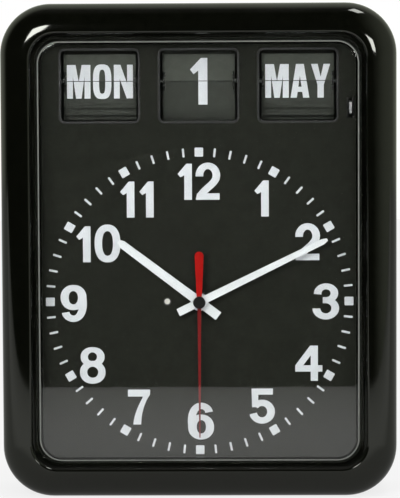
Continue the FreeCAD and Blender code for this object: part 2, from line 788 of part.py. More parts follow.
def make_lift_bar():
    """Upright rod from the cam, cross bar behind the units, three pawls and a link arm."""
    body = new_body("lift_bar")
    bar_low, bar_high = leaf_split_height - 40, leaf_split_height - 36.5
    rod_back = layer(1) + 1.2
    foot = dial_centre_height + 18 + 7.8
    pad(body, "top", foot, bar_high - foot, rectangle(0, rod_back - 0.7, 3, 1.4))
    bar_front, bar_back = 12, 15
    pad(body, "top", bar_low, bar_high - bar_low,
        rectangle(0, (rod_back - 1.4 + bar_back) / 2, 3, bar_back - rod_back + 1.4))
    pad(body, "side", -38.5, 38.5 + 100.4,
        rectangle((bar_front + bar_back) / 2, (bar_low + bar_high) / 2, 3, bar_high - bar_low))
    tip = leaf_split_height - 5
    pawl = polygon([(12.2, bar_low), (13.6, bar_low), (13.6, tip), (12.4, tip + 1),
                    (11.8, tip), (12.2, tip - 3)])
    for name, place, count in UNITS:
        left = place * window_pitch + flap_frame_inside / 2 + 2.2
        pad(body, "side", left, 1.6, pawl)
    link = polygon([(10.5, bar_low), (13.5, bar_low), (13.5, lever_height + 2),
                    (10.5, lever_height + 2)])
    pad(body, "side", 98.4, 2, link)
    pad(body, "side", 100.4, 2.6, many_sided(LEVER_PIVOT_DEPTH + LEVER_ARM, lever_height, 0.9))


def make_rod_guide():
    """Block behind the dial plate that keeps the rod upright."""
    body = new_body("rod_guide")
    rod_middle = layer(1) + 0.5
    pad(body, "top", dial_centre_height + 92, 4,
        rectangle(0, dial_back_y + 3, 12, 6), rectangle(0, rod_middle, 3.1, 1.5))


def make_advance_lever():
    """Hand lever: a tab through the dial's slot, a pivot hole and a slotted rear arm."""
    body = new_body("advance_lever")
    tab = lever_tab_height / 2
    up = lever_height
    tab_back = dial_y + 4
    outline = polygon([(dial_y - 3.5, up - tab + 0.8), (dial_y - 2.7, up - tab), (tab_back, up - tab),
                       (tab_back + 4, up - 3), (8, up - 2.4), (15, up - 2.4), (15, up + 2.4),
                       (8, up + 2.4), (tab_back + 4, up + 3), (tab_back, up + tab),
                       (dial_y - 2.7, up + tab), (dial_y - 3.5, up + tab - 0.8)])
    slot = rectangle(LEVER_PIVOT_DEPTH + LEVER_ARM + 0.15, up, 3.2, 2)
    pad(body, "side", lever_slot_across - lever_thick / 2, lever_thick, outline, slot,
        circle(LEVER_PIVOT_DEPTH, up, 1.05))


def make_lever_bracket():
    """Two ears with a pin, on two feet behind the dial plate."""
    body = new_body("lever_bracket")
    back, up = dial_back_y, lever_height
    ear = polygon([(back, up - 12), (back + 1.2, up - 12), (-5, up - 3), (-5, up + 3),
                   (back + 1.2, up + 12), (back, up + 12)])
    left, right = lever_slot_across - 2.6, lever_slot_across + 1.4
    pad(body, "side", left, 1.2, ear)
    pad(body, "side", left, right - left + 1.2, many_sided(LEVER_PIVOT_DEPTH, up, 1.0))
    pad(body, "side", right, 1.2, ear)
    for foot in (up - 9.5, up + 9.5):
        pad(body, "side", left, right - left + 1.2, rectangle(back + 0.6, foot, 1.2, 5))


# ---------------------------------------------------------------- movement

MOTION_SPAN = 12
CALENDAR_SPAN = 18
MOTION_SPACE = 8.5
SET_DIRECTION = -70
STUD_RADIUS = 0.8


def away(start, span, direction):
    """A place at a distance from another, at degrees from +X towards +Z."""
    angle = math.radians(direction)
    return start[0] + span * math.cos(angle), start[1] + span * math.sin(angle)


CENTRE = (size_of(0), dial_centre_height)
MOTION = away(CENTRE, MOTION_SPAN, 0)
CALENDAR = away(CENTRE, CALENDAR_SPAN, 90)


def set_shaft_place():
    """Where the hand-setting shaft runs, as (across, up)."""
    return away(MOTION, MOTION_SPAN, SET_DIRECTION)


def layer(number):
    """Front depth of one layer of wheels in the movement."""
    return dial_back_y + movement_wall + 0.3 + gear_layer * number


def module_for(span, wheel, pinion):
    """Module that makes a wheel and a pinion meet at a distance."""
    return 2.0 * span / (wheel + pinion)


def mesh(phase, teeth, mate_teeth, direction):
    """Phase of a mate so that its teeth stand between those of the first wheel."""
    ahead = phase - direction
    return direction + 180 - ahead * teeth / mate_teeth + 180.0 / mate_teeth


KNOB_NOTCHES = 16
SNAIL_POINTS = 20


def add_gear(body, teeth, module, depth, phase, bore=None):
    """A toothed wheel on the body's own axis, with straight-sided teeth and backlash."""
    root = module * (teeth / 2 - 1.1)
    turn = math.radians(phase)
    corners = [turn + 2 * math.pi * number / teeth for number in range(teeth)]
    web = polygon([(root * math.cos(corner), root * math.sin(corner)) for corner in corners])
    holes = [many_sided(0, 0, bore, around=True)] if bore is not None else []
    pad(body, "front", depth, gear_width, web, *holes)
    root_half = 0.55 if teeth <= 12 else 0.8
    foot, tip = teeth / 2 - 1.5, teeth / 2 + 0.75
    outline = [(foot, -root_half), (tip, -0.33), (tip, 0.33), (foot, root_half)]
    cosine, sine = math.cos(turn), math.sin(turn)
    tooth = polygon([(module * (along * cosine - side * sine), module * (along * sine + side * cosine))
                     for along, side in outline])
    ring_of(body, pad(body, "front", depth, gear_width, tooth), teeth)


def train_body(name, place):
    """A body whose own axis is an arbor of the movement."""
    return new_body(name, (place[0], 0, place[1]))


def arbor(body, front, back, radius):
    """A round shaft on the body's own axis."""
    pad(body, "front", front, back - front, circle(0, 0, radius))


def tube(body, front, back, outer, inner):
    """A tube on the body's own axis."""
    pad(body, "front", front, back - front, many_sided(0, 0, outer),
        many_sided(0, 0, inner, around=True))


HOUR_DEPTH = dial_y - 4.6
MINUTE_DEPTH = HOUR_DEPTH - hand_thick - hand_gap
SECOND_DEPTH = MINUTE_DEPTH - hand_thick - hand_gap


def make_hour_wheel():
    """Hour tube with the hour wheel and the pinion that drives the calendar wheel."""
    body = train_body("hour_wheel", CENTRE)
    bore = minute_tube_radius + running_gap
    tube(body, HOUR_DEPTH, layer(1) + gear_width, hour_tube_radius, bore)
    add_gear(body, 16, module_for(CALENDAR_SPAN, 32, 16), layer(0), 0, bore)
    phase = mesh(0, 10, 40, 180)
    add_gear(body, 40, module_for(MOTION_SPAN, 40, 10), layer(1), phase, bore)


def make_minute_arbor():
    """Minute tube with the cannon pinion."""
    body = train_body("minute_arbor", CENTRE)
    bore = arbor_radius + running_gap
    tube(body, MINUTE_DEPTH, layer(4) + gear_width, minute_tube_radius, bore)
    add_gear(body, 12, module_for(MOTION_SPAN, 36, 12), layer(2), 0, bore)


def make_motion_wheel():
    """Wheel and pinion between the cannon pinion and the hour wheel."""
    body = train_body("motion_wheel", MOTION)
    bore = STUD_RADIUS + running_gap
    tube(body, layer(1), layer(2) + gear_width, 1.4, bore)
    add_gear(body, 10, module_for(MOTION_SPAN, 40, 10), layer(1), 0, bore)
    add_gear(body, 36, module_for(MOTION_SPAN, 36, 12), layer(2), mesh(0, 12, 36, 0), bore)


def make_set_shaft():
    """Long shaft from the setting pinion out to the back."""
    body = train_body("set_shaft", set_shaft_place())
    arbor(body, layer(2), back_y - 5.5, 1.5)
    phase = mesh(mesh(0, 12, 36, 0), 36, 12, SET_DIRECTION)
    add_gear(body, 12, module_for(MOTION_SPAN, 36, 12), layer(2), phase)


def make_set_knob():
    """Knob with a notched rim on the end of the setting shaft."""
    body = train_body("set_knob", set_shaft_place())
    front, thick, radius = back_y - 6.5, 6.2, 8
    pad(body, "front", front, thick, many_sided(0, 0, radius, KNOB_NOTCHES))
    bevel_edges(body, 0.8, at_depth((front + thick).value))
    cut(body, "front", front, 1, many_sided(0, 0, 1.5, around=True))
    notch = polygon([(radius - 0.9, 0), (radius + 1, -1.3), (radius + 1, 1.3)])
    ring_of(body, cut(body, "front", front, thick, notch), KNOB_NOTCHES)


def make_calendar_wheel():
    """Wheel that turns once a day and carries the snail cam that lifts the rod."""
    body = train_body("calendar_wheel", CALENDAR)
    bore = STUD_RADIUS + running_gap
    phase = mesh(0, 16, 32, 90)
    add_gear(body, 32, module_for(CALENDAR_SPAN, 32, 16), layer(0), phase, bore)
    last = SNAIL_POINTS - 1
    snail = [(2 * math.pi * number / SNAIL_POINTS, 3.4 + 4.0 * number / last)
             for number in range(SNAIL_POINTS)]
    points = [(radius * math.cos(angle), radius * math.sin(angle)) for angle, radius in snail]
    pad(body, "front", layer(0) + gear_width, 1.2, polygon(points),
        many_sided(0, 0, bore, around=True))


def make_second_arbor():
    """Thin arbor that comes out of the sealed motor unit through the minute tube."""
    body = train_body("second_arbor", CENTRE)
    arbor(body, SECOND_DEPTH, movement_back_y - 0.8, arbor_radius)


def movement_outline(inset):
    """The movement case's outline, drawn in by an inset."""
    return clipped(0, dial_centre_height + movement_centre_rise, movement_width - inset * 2,
                   movement_height - inset * 2, 4 - inset * 0.6)


def make_movement_case_front():
    """Front half of the movement's case, with two studs and the rod's opening."""
    body = new_body("movement_case_front")
    half = dial_back_y + MOTION_SPACE
    pad(body, "front", dial_back_y, half - dial_back_y, movement_outline(0))
    inner = dial_back_y + movement_wall
    cut(body, "front", inner, half - inner, movement_outline(movement_wall))
    cut(body, "front", dial_back_y, movement_wall,
        many_sided(0, dial_centre_height, bush_radius + 1, around=True))
    for across, up in (MOTION, CALENDAR):
        pad(body, "front", inner - 0.2, layer(2) + gear_width - inner + 0.2,
            circle(across, up, STUD_RADIUS))
    pad(body, "front", dial_back_y - 1.1, 1.3, many_sided(PEEP_ACROSS, dial_centre_height, 2, 16))
    top = dial_centre_height + movement_centre_rise + movement_height / 2
    cut(body, "top", top - 3, 4, rectangle(0, layer(1) + 0.5, 3.1, 1.5))


def make_movement_case_rear():
    """Sealed motor unit behind the wheels, bored for the seconds arbor and the setting shaft."""
    body = new_body("movement_case_rear")
    half = dial_back_y + MOTION_SPACE
    bore = many_sided(0, dial_centre_height, arbor_radius + running_gap, around=True)
    across, up = set_shaft_place()
    passage = many_sided(across, up, 1.5 + running_gap, around=True)
    pad(body, "front", half, movement_back_y - half, movement_outline(0), passage)
    cut(body, "front", half, movement_back_y - half - 0.6, bore)
    rise = dial_centre_height + movement_centre_rise
    cut(body, "front", movement_back_y - 1, 1, rectangle(-14, rise + 18, 22, 14))


def make_centre_bush():
    """Threaded brass tube that clamps the movement to the dial plate."""
    body = train_body("centre_bush", CENTRE)
    bore = hour_tube_radius + running_gap
    pad(body, "front", dial_y - 2.9, dial_back_y - dial_y + 2.9,
        many_sided(0, 0, bush_radius), circle(0, 0, bore))
    tube(body, dial_back_y, dial_back_y + movement_wall, bush_radius + 1, bore)


def make_centre_nut():
    """Hexagon nut in front of the dial."""
    body = train_body("centre_nut", CENTRE)
    pad(body, "front", dial_y - 2, 2, many_sided(0, 0, 6.6, 6),
        many_sided(0, 0, bush_radius))


# ---------------------------------------------------------------- hands

HOUR_ANGLE = 307
MINUTE_ANGLE = 64
SECOND_ANGLE = 180


def hand_body(name, angle):
    """A hand's body, turned clockwise from twelve as the dial is read."""
    return new_body(name, (0, 0, dial_centre_height), Rotation(Vector(0, 1, 0), angle))


def hand_bore(radius, angle):
    """A hand's hole: the outline of its shaft, which does not turn with the hand's drawing."""
    turns = [2 * math.pi * number / SHAFT_SIDES + math.radians(angle) for number in range(SHAFT_SIDES)]
    return polygon([(size_of(radius) * math.cos(turn), size_of(radius) * math.sin(turn))
                    for turn in turns])


def baton(root, tip, length, tail, point):
    """A tapering baton with a bevelled end, drawn upwards."""
    return polygon([(-root / 2, -tail), (root / 2, -tail), (root / 2, 0), (tip / 2, length - 3.2),
                    (point, length), (-point, length), (-tip / 2, length - 3.2), (-root / 2, 0)])


def make_hour_hand():
    body = hand_body("hour_hand", HOUR_ANGLE)
    blade = baton(hour_hand_root, hour_hand_tip, hour_hand_length, hour_hand_tail, 1.3)
    pad(body, "front", HOUR_DEPTH, hand_thick, blade)
    pad(body, "front", HOUR_DEPTH, hand_thick, many_sided(0, 0, 6, 24))
    cut(body, "front", HOUR_DEPTH, hand_thick, hand_bore(hour_tube_radius, HOUR_ANGLE))


def make_minute_hand():
    body = hand_body("minute_hand", MINUTE_ANGLE)
    blade = baton(minute_hand_root, minute_hand_tip, minute_hand_length, minute_hand_tail, 0.8)
    pad(body, "front", MINUTE_DEPTH, hand_thick, blade)
    pad(body, "front", MINUTE_DEPTH, hand_thick, many_sided(0, 0, 5.5, 24))
    cut(body, "front", MINUTE_DEPTH, hand_thick, hand_bore(minute_tube_radius, MINUTE_ANGLE))


def make_second_hand():
    """Fine blade with a broad rounded counterweight."""
    body = hand_body("second_hand", SECOND_ANGLE)
    tail = second_hand_tail - 3
    blade = polygon([(-1.6, 0), (-3, -tail), (3, -tail), (1.6, 0), (1.3, 3),
                     (0.4, second_hand_length), (-0.4, second_hand_length), (-1.3, 3)])
    pad(body, "front", SECOND_DEPTH, hand_thick - 0.2, blade)
    pad(body, "front", SECOND_DEPTH, hand_thick - 0.2, many_sided(0, -tail, 3, 24))
    pad(body, "front", SECOND_DEPTH, hand_thick - 0.2, many_sided(0, 0, 3))
    pad(body, "front", SECOND_DEPTH, 1.6, many_sided(0, 0, 1.3))
    cut(body, "front", SECOND_DEPTH, 1.6, circle(0, 0, arbor_radius))


def make_hand_cap():
    """Black domed cap over the hub."""
    body = train_body("hand_cap", CENTRE)
    front = SECOND_DEPTH - 1.7
    pad(body, "front", front, 1.7, many_sided(0, 0, 4.15, 24))
    bevel_edges(body, 0.8, at_depth(front.value))


# ---------------------------------------------------------------- build and write

def build_all():
    """Make every sub-part."""
    make_front_bezel()
    make_rear_cover()
    make_battery_door()
    make_lens()
    make_dial_plate()
    make_hanger_plate()
    make_battery_holder()
    make_battery_cell()
    make_battery_contacts()
    for name, place, count in UNITS:
        make_window_frame(name, place)
        make_flap_frame(name, place)
        make_spool(name, place, count)
        make_axle(name, place)
        make_ratchet(name, place, count)
        falling_leaf = make_falling_leaf(name, place, count)
        make_leaves(name, place, count, falling_leaf)
    make_detent_springs()
    make_lift_bar()
    make_rod_guide()
    make_advance_lever()
    make_lever_bracket()
    make_centre_bush()
    make_centre_nut()
    make_movement_case_front()
    make_movement_case_rear()
    make_hour_wheel()
    make_minute_arbor()
    make_motion_wheel()
    make_set_shaft()
    make_set_knob()
    make_calendar_wheel()
    make_second_arbor()
    make_hour_hand()
    make_minute_hand()
    make_second_hand()
    make_hand_cap()


def check_document():
    """Stop if any object failed or any sub-part has no sound shape."""
    doc.recompute()
    for item in doc.Objects:
        if "Invalid" in item.State or "Error" in item.State:
            raise RuntimeError("%s failed: %s" % (item.Label, item.State))
    for item in sub_parts:
        if item.Shape.isNull() or not item.Shape.isValid():
            raise RuntimeError(item.Label + " has no sound shape")


def write_all():
    """Write one STEP file for each sub-part."""
    os.makedirs("parts", exist_ok=True)
    for item in sub_parts:
        item.Shape.exportStep("parts/%s.step" % item.Label)
    print("%d sub-parts written" % len(sub_parts))


build_all()
check_document()
write_all()
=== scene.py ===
"""A calendar clock: rolled dark case, clear front tray, printed dial and three flap windows.

Lengths in the tables are millimetres in the clock's own frame: x across, y back, z up.
"""

import math

import bmesh
import bpy
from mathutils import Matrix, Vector


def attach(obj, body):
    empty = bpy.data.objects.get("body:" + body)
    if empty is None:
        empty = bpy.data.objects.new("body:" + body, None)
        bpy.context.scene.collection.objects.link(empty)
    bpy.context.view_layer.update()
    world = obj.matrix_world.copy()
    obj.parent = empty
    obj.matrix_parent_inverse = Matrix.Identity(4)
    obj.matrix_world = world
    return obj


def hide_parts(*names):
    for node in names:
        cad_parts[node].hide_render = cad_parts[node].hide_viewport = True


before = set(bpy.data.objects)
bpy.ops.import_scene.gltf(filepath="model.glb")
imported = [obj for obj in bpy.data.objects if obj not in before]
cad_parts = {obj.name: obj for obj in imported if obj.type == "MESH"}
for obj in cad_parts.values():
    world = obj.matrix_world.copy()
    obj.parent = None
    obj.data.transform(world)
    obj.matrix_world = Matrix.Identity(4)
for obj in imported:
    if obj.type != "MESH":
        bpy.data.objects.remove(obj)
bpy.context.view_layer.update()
MM = 0.001
PI = math.pi

# Fixed places and outlines on the clock. An outline is (width, height, corner radius).
MIDDLE_UP = 165
CASE_OUTLINE = (264, 330, 34)
CASE_INSIDE = (258, 324, 31)
CASE_FRONT, CASE_JOINT, CASE_BACK = -42.5, 8, 42.5
SEAT_BACK = -33
WELL_OUTLINE = (214, 281, 13)
SCREW_ACROSS, SCREW_UPS, SCREW_SEAT = 124.8, (50, 280), 16
DIAL_FACE, DIAL_CENTRE = -18, (0, 130)
MARKS_RADIUS = 100.5
INK_THICK, INK_FACE = 0.06, DIAL_FACE - 0.04
WINDOW_PITCH, WINDOW_UP = 66.5, 275
SPLIT_UP = 278
SPOOL_BACK, SPOOL_PIN = 2.5, 11.5
LEAF_THICK = 0.25
CAPITAL_TALL, FIGURE_TALL = 22.6, 31.3
# Each flap unit: its name, its place across and its spool's number of steps.
UNITS = (("day", -WINDOW_PITCH, 14), ("date", 0, 31), ("month", WINDOW_PITCH, 12))


# ---------------------------------------------------------------- modelling

def deselect_all():
    """Leave edit mode and select nothing."""
    if bpy.context.object and bpy.context.object.mode != "OBJECT":
        bpy.ops.object.mode_set(mode="OBJECT")
    bpy.ops.object.select_all(action="DESELECT")


def take(piece):
    """Select one piece alone and make it active."""
    deselect_all()
    piece.select_set(True)
    bpy.context.view_layer.objects.active = piece


def rename(piece, name):
    """Name a piece and its mesh."""
    piece.name = name
    piece.data.name = name
    return piece


def settle(piece):
    """Put a piece's place, turn and scale into its mesh."""
    take(piece)
    bpy.ops.object.transform_apply(location=True, rotation=True, scale=True)
    return piece


def turn_about(piece, axis, angle, centre):
    """Turn a settled piece about an axis through a point, given in millimetres."""
    take(piece)
    bpy.context.scene.cursor.location = Vector(centre) * MM
    bpy.ops.object.origin_set(type="ORIGIN_CURSOR")
    piece.rotation_euler = [angle if name == axis else 0 for name in "XYZ"]
    settle(piece)
    return piece


def join(name, pieces):
    """Join pieces into one with a new name."""
    deselect_all()
    for piece in pieces:
        piece.select_set(True)
    bpy.context.view_layer.objects.active = pieces[0]
    if len(pieces) > 1:
        bpy.ops.object.join()
    return rename(pieces[0], name)


def copy_of(piece, name, across=0, up=0):
    """A copy with its own mesh, moved by a distance in millimetres."""
    take(piece)
    bpy.ops.object.duplicate(linked=False)
    twin = rename(bpy.context.object, name)
    twin.location = Vector((across, 0, up)) * MM
    return settle(twin)


def block(name, low, high):
    """A box between two corners, ready to be shaped."""
    deselect_all()
    low, high = Vector(low) * MM, Vector(high) * MM
    bpy.ops.mesh.primitive_cube_add(size=1, location=(low + high) / 2)
    piece = rename(bpy.context.object, name)
    piece.scale = high - low
    return settle(piece)


def drum(name, centre, radius, front, back, sides):
    """A round bar between two depths, ready to be shaped."""
    deselect_all()
    place = Vector((centre[0], (front + back) / 2, centre[1])) * MM
    bpy.ops.mesh.primitive_cylinder_add(vertices=sides, radius=radius * MM,
                                        depth=(back - front) * MM, location=place,
                                        rotation=(PI / 2, 0, 0))
    return settle(rename(bpy.context.object, name))


def pick_edges(piece, test):
    """Go into edit mode with only the edges chosen that pass a test."""
    take(piece)
    bpy.ops.object.mode_set(mode="EDIT")
    bpy.ops.mesh.select_mode(type="EDGE")
    bpy.ops.mesh.select_all(action="DESELECT")
    mesh = bmesh.from_edit_mesh(piece.data)
    for edge in mesh.edges:
        if test(edge):
            edge.select_set(True)
    mesh.select_flush_mode()
    bmesh.update_edit_mesh(piece.data)


def leave_edit():
    """Go back to object mode."""
    bpy.ops.object.mode_set(mode="OBJECT")


def in_front_of(depth):
    """A test for edges that lie wholly in front of a depth in millimetres."""
    return lambda edge: all(vertex.co.y < depth * MM for vertex in edge.verts)


def runs_back(edge):
    """A test for edges that run from front to back for more than five millimetres."""
    first, second = edge.verts
    return abs((first.co - second.co).y) > 5 * MM


def bevel(piece, test, width, segments):
    """Round the edges that pass a test."""
    pick_edges(piece, test)
    bpy.ops.mesh.bevel(offset=width * MM, offset_type="OFFSET", segments=segments,
                       affect="EDGES", clamp_overlap=True)
    leave_edit()


def finish_shape(piece, angle=32, weighted=True):
    """Merge doubles, turn faces outwards and shade by angle."""
    take(piece)
    bpy.ops.object.mode_set(mode="EDIT")
    bpy.ops.mesh.select_all(action="SELECT")
    bpy.ops.mesh.remove_doubles(threshold=0.000001)
    bpy.ops.mesh.normals_make_consistent(inside=False)
    leave_edit()
    bpy.ops.object.shade_smooth_by_angle(angle=math.radians(angle))
    if weighted:
        bpy.ops.object.modifier_add(type="WEIGHTED_NORMAL")
        piece.modifiers[-1].keep_sharp = True
        bpy.ops.object.modifier_apply(modifier=piece.modifiers[-1].name)
    return piece


def cut_out(piece, cutter):
    """Take a cutter's shape out of a piece and delete the cutter."""
    take(piece)
    bpy.ops.object.modifier_add(type="BOOLEAN")
    change = piece.modifiers[-1]
    change.operation = "DIFFERENCE"
    change.solver = "EXACT"
    change.object = cutter
    bpy.ops.object.modifier_apply(modifier=change.name)
    bpy.data.objects.remove(cutter)
    return piece


def outline_ring(depth, width, height, radius, middle=(0, MIDDLE_UP), segments=14):
    """An upright rectangle's outline with rounded corners, at one depth."""
    deselect_all()
    bpy.ops.mesh.primitive_plane_add(size=1, rotation=(PI / 2, 0, 0),
                                     location=Vector((middle[0], depth, middle[1])) * MM)
    ring = bpy.context.object
    ring.scale = (width * MM, height * MM, 1)
    settle(ring)
    bpy.ops.object.mode_set(mode="EDIT")
    bpy.ops.mesh.select_all(action="SELECT")
    bpy.ops.mesh.bevel(offset=radius * MM, segments=segments, affect="VERTICES")
    bpy.ops.mesh.select_all(action="SELECT")
    bpy.ops.mesh.delete(type="ONLY_FACE")
    leave_edit()
    return ring


def skin(name, sections, middle=(0, MIDDLE_UP), closed=False, segments=14, pairs=None):
    """Bridge rounded outlines, given as (depth, width, height, corner radius), into a skin.

    Each outline is bridged to the next, and the last to the first if closed. Where pairs are
    given, only those are bridged.
    """
    # A bridge needs a direction, so every other outline stands this far back till the end.
    nudge = 0.01
    rings = []
    for index, (depth, *size) in enumerate(sections):
        ring = outline_ring(depth + nudge * (index % 2), *size, middle, segments)
        rings.append(ring)
        mark = ring.data.attributes.new("ring", "INT", "POINT")
        mark.data.foreach_set("value", [index + 1] * len(ring.data.vertices))
    piece = join(name, rings)
    if pairs is None:
        pairs = list(zip(range(len(rings)), range(1, len(rings))))
        pairs += [(len(rings) - 1, 0)] if closed else []
    for pair in pairs:
        pick_rings(piece, *pair)
        bpy.ops.mesh.bridge_edge_loops()
        leave_edit()
    pick_rings(piece, *range(1, len(rings), 2))
    bpy.ops.transform.translate(value=(0, -nudge * MM, 0))
    leave_edit()
    return piece


def pick_rings(piece, *numbers):
    """Go into edit mode with only the edges of the numbered outlines chosen."""
    marks = [mark.value for mark in piece.data.attributes["ring"].data]

    def on_outline(edge):
        first, second = (marks[vertex.index] for vertex in edge.verts)
        return first == second and first - 1 in numbers

    pick_edges(piece, on_outline)


def round_ring(piece, number, width, segments):
    """Round the edge that runs along one numbered outline."""
    pick_rings(piece, number)
    bpy.ops.mesh.bevel(offset=width * MM, offset_type="OFFSET", segments=segments,
                       affect="EDGES", clamp_overlap=False)
    leave_edit()


def close_ring(piece, number):
    """Fill one numbered outline with a face."""
    pick_rings(piece, number)
    bpy.ops.mesh.edge_face_add()
    leave_edit()


def flat_shape(name, outlines, thick, depth, place=(0, 0)):
    """A thin print: closed outlines of (across, up), filled, with its front at one depth."""
    deselect_all()
    curve = bpy.data.curves.new(name, "CURVE")
    curve.dimensions = "2D"
    curve.fill_mode = "BOTH"
    curve.extrude = thick / 2 * MM
    for outline in outlines:
        line = curve.splines.new("POLY")
        line.points.add(len(outline) - 1)
        for point, (across, up) in zip(line.points, outline):
            point.co = (across * MM, up * MM, 0, 1)
        line.use_cyclic_u = True
    piece = bpy.data.objects.new(name, curve)
    bpy.context.scene.collection.objects.link(piece)
    take(piece)
    bpy.ops.object.convert(target="MESH")
    piece = rename(bpy.context.object, name)
    piece.rotation_euler = (PI / 2, 0, 0)
    piece.location = Vector((place[0], depth + thick / 2, place[1])) * MM
    return settle(piece)


# ---------------------------------------------------------------- materials

def new_group(name, inputs, outputs):
    """An empty shader node group with named inputs, given with their values, and outputs."""
    group = bpy.data.node_groups.new(name, "ShaderNodeTree")
    for label, value in inputs:
        socket = group.interface.new_socket(label, in_out="INPUT", socket_type="NodeSocketFloat")
        socket.default_value = value
    for label in outputs:
        group.interface.new_socket(label, in_out="OUTPUT", socket_type="NodeSocketFloat")
    return group, group.nodes.new("NodeGroupInput"), group.nodes.new("NodeGroupOutput")


def add_node(tree, kind, settings=None, **inputs):
    """A node with its settings, and its inputs given as values or as sockets to link.

    Inputs go by their labels, or by their numbers as n0, n1 and n2.
    """
    node = tree.nodes.new(kind)
    for name, value in (settings or {}).items():
        setattr(node, name, value)
    for name, value in inputs.items():
        socket = node.inputs[int(name[1:]) if name[0] == "n" and name[1:].isdigit()
                             else name.replace("_", " ")]
        if isinstance(value, bpy.types.NodeSocket):
            tree.links.new(value, socket)
        else:
            socket.default_value = value
    return node


def number(tree, operation, first, second=0.0, third=0.0, clamp=False):
    """The output of a maths node."""
    settings = {"operation": operation, "use_clamp": clamp}
    return add_node(tree, "ShaderNodeMath", settings, n0=first, n1=second, n2=third).outputs[0]


def ranged(tree, value, low, high, start=0.0, end=1.0, smooth=False):
    """A value taken from one range to another, and held at its ends."""
    settings = {"interpolation_type": "SMOOTHSTEP"} if smooth else None
    return add_node(tree, "ShaderNodeMapRange", settings, Value=value, From_Min=low,
                    From_Max=high, To_Min=start, To_Max=end).outputs[0]


def object_place(tree):
    """The place on the piece in metres."""
    return add_node(tree, "ShaderNodeTexCoord").outputs["Object"]


def part_of(tree, vector, axis):
    """One of a vector's parts."""
    return add_node(tree, "ShaderNodeSeparateXYZ", Vector=vector).outputs[axis]


def noise(tree, place, scale, detail=3.0, roughness=0.55, stretch=None):
    """The output of a noise pattern, in repeats per metre, stretched on any axis."""
    if stretch:
        place = add_node(tree, "ShaderNodeMapping", Vector=place, Scale=stretch).outputs[0]
    return add_node(tree, "ShaderNodeTexNoise", Vector=place, Scale=scale, Detail=detail,
                    Roughness=roughness).outputs["Fac"]


def make_grain_group():
    """Moulded skin: a fine grain and a slow waviness."""
    group, given, out = new_group("moulded_skin", [("Grain", 2500.0), ("Waves", 25.0)],
                                  ["Grain", "Waves", "Blotches"])
    place = object_place(group)
    group.links.new(noise(group, place, given.outputs["Grain"], 4.0, 0.6), out.inputs["Grain"])
    group.links.new(noise(group, place, given.outputs["Waves"], 1.0), out.inputs["Waves"])
    group.links.new(noise(group, place, 140.0, 5.0, 0.65), out.inputs["Blotches"])
    return group


def make_scratch_group():
    """Handling marks: hairlines in two directions and faint smudges."""
    group, given, out = new_group("handling_marks", [("Amount", 0.5)], ["Hairlines", "Smudges"])
    place = object_place(group)
    amount = given.outputs["Amount"]
    lines = []
    for turn, stretch in ((0.5, (22, 22, 1.2)), (-0.7, (22, 22, 1.0))):
        turned = add_node(group, "ShaderNodeMapping", Vector=place,
                          Rotation=(0, turn, turn)).outputs[0]
        lines.append(ranged(group, noise(group, turned, 160.0, 2.0, 0.5, stretch), 0.66, 0.75))
    both = number(group, "MAXIMUM", lines[0], lines[1])
    group.links.new(number(group, "MULTIPLY", both, amount), out.inputs["Hairlines"])
    smudge = ranged(group, noise(group, place, 18.0, 6.0, 0.7), 0.45, 0.7)
    group.links.new(number(group, "MULTIPLY", smudge, amount), out.inputs["Smudges"])
    return group


def make_edge_group():
    """Rubbed edges: where the surface turns sharply, broken up by noise."""
    group, given, out = new_group("rubbed_edges", [("Width", 0.0006), ("Amount", 0.5)], ["Edge"])
    soft = add_node(group, "ShaderNodeBevel", {"samples": 4},
                    Radius=given.outputs["Width"]).outputs[0]
    true = add_node(group, "ShaderNodeNewGeometry").outputs["Normal"]
    same = add_node(group, "ShaderNodeVectorMath", {"operation": "DOT_PRODUCT"}, n0=soft,
                    n1=true).outputs["Value"]
    edge = ranged(group, same, 0.995, 0.9)
    place = object_place(group)
    broken = ranged(group, noise(group, place, 90.0, 6.0, 0.7), 0.35, 0.65)
    worn = number(group, "MULTIPLY", edge, broken)
    group.links.new(number(group, "MULTIPLY", worn, given.outputs["Amount"]), out.inputs["Edge"])
    return group


def make_dust_group():
    """Dust that settles on what faces up."""
    group, given, out = new_group("settled_dust", [("Amount", 0.2)], ["Dust"])
    normal = add_node(group, "ShaderNodeNewGeometry").outputs["Normal"]
    flat = ranged(group, part_of(group, normal, "Z"), 0.5, 1.0)
    place = object_place(group)
    specks = ranged(group, noise(group, place, 1400.0, 2.0, 0.6), 0.5, 0.72)
    drift = noise(group, place, 30.0, 3.0)
    spread = number(group, "MULTIPLY", number(group, "ADD", specks, drift), flat)
    group.links.new(number(group, "MULTIPLY", spread, given.outputs["Amount"], clamp=True),
                    out.inputs["Dust"])
    return group


GROUPS = {"skin": make_grain_group(), "marks": make_scratch_group(), "edges": make_edge_group(),
          "dust": make_dust_group()}


def use_group(tree, name, **inputs):
    """One of the shared effects, placed in a material with its own values."""
    node = tree.nodes.new("ShaderNodeGroup")
    node.node_tree = GROUPS[name]
    for label, value in inputs.items():
        node.inputs[label].default_value = value
    return node


def blend_colour(tree, share, first, second):
    """A colour mixed from two by a share."""
    # A colour mix takes its two colours on inputs 6 and 7 and gives the mix on output 2.
    node = add_node(tree, "ShaderNodeMix", {"data_type": "RGBA"}, Factor=share)
    for socket, value in ((node.inputs[6], first), (node.inputs[7], second)):
        if isinstance(value, bpy.types.NodeSocket):
            tree.links.new(value, socket)
        else:
            socket.default_value = (*value, 1)
    return node.outputs[2]


def new_material(name, **shader):
    """A material with its Principled shader's plain values set."""
    material = bpy.data.materials.new(name)
    material.use_nodes = True
    surface = material.node_tree.nodes["Principled BSDF"]
    for label, value in shader.items():
        surface.inputs[label.replace("_", " ")].default_value = value
    return material, material.node_tree, surface


DUST_COLOUR = (0.32, 0.31, 0.29)
WHITE = (1, 1, 1, 1)


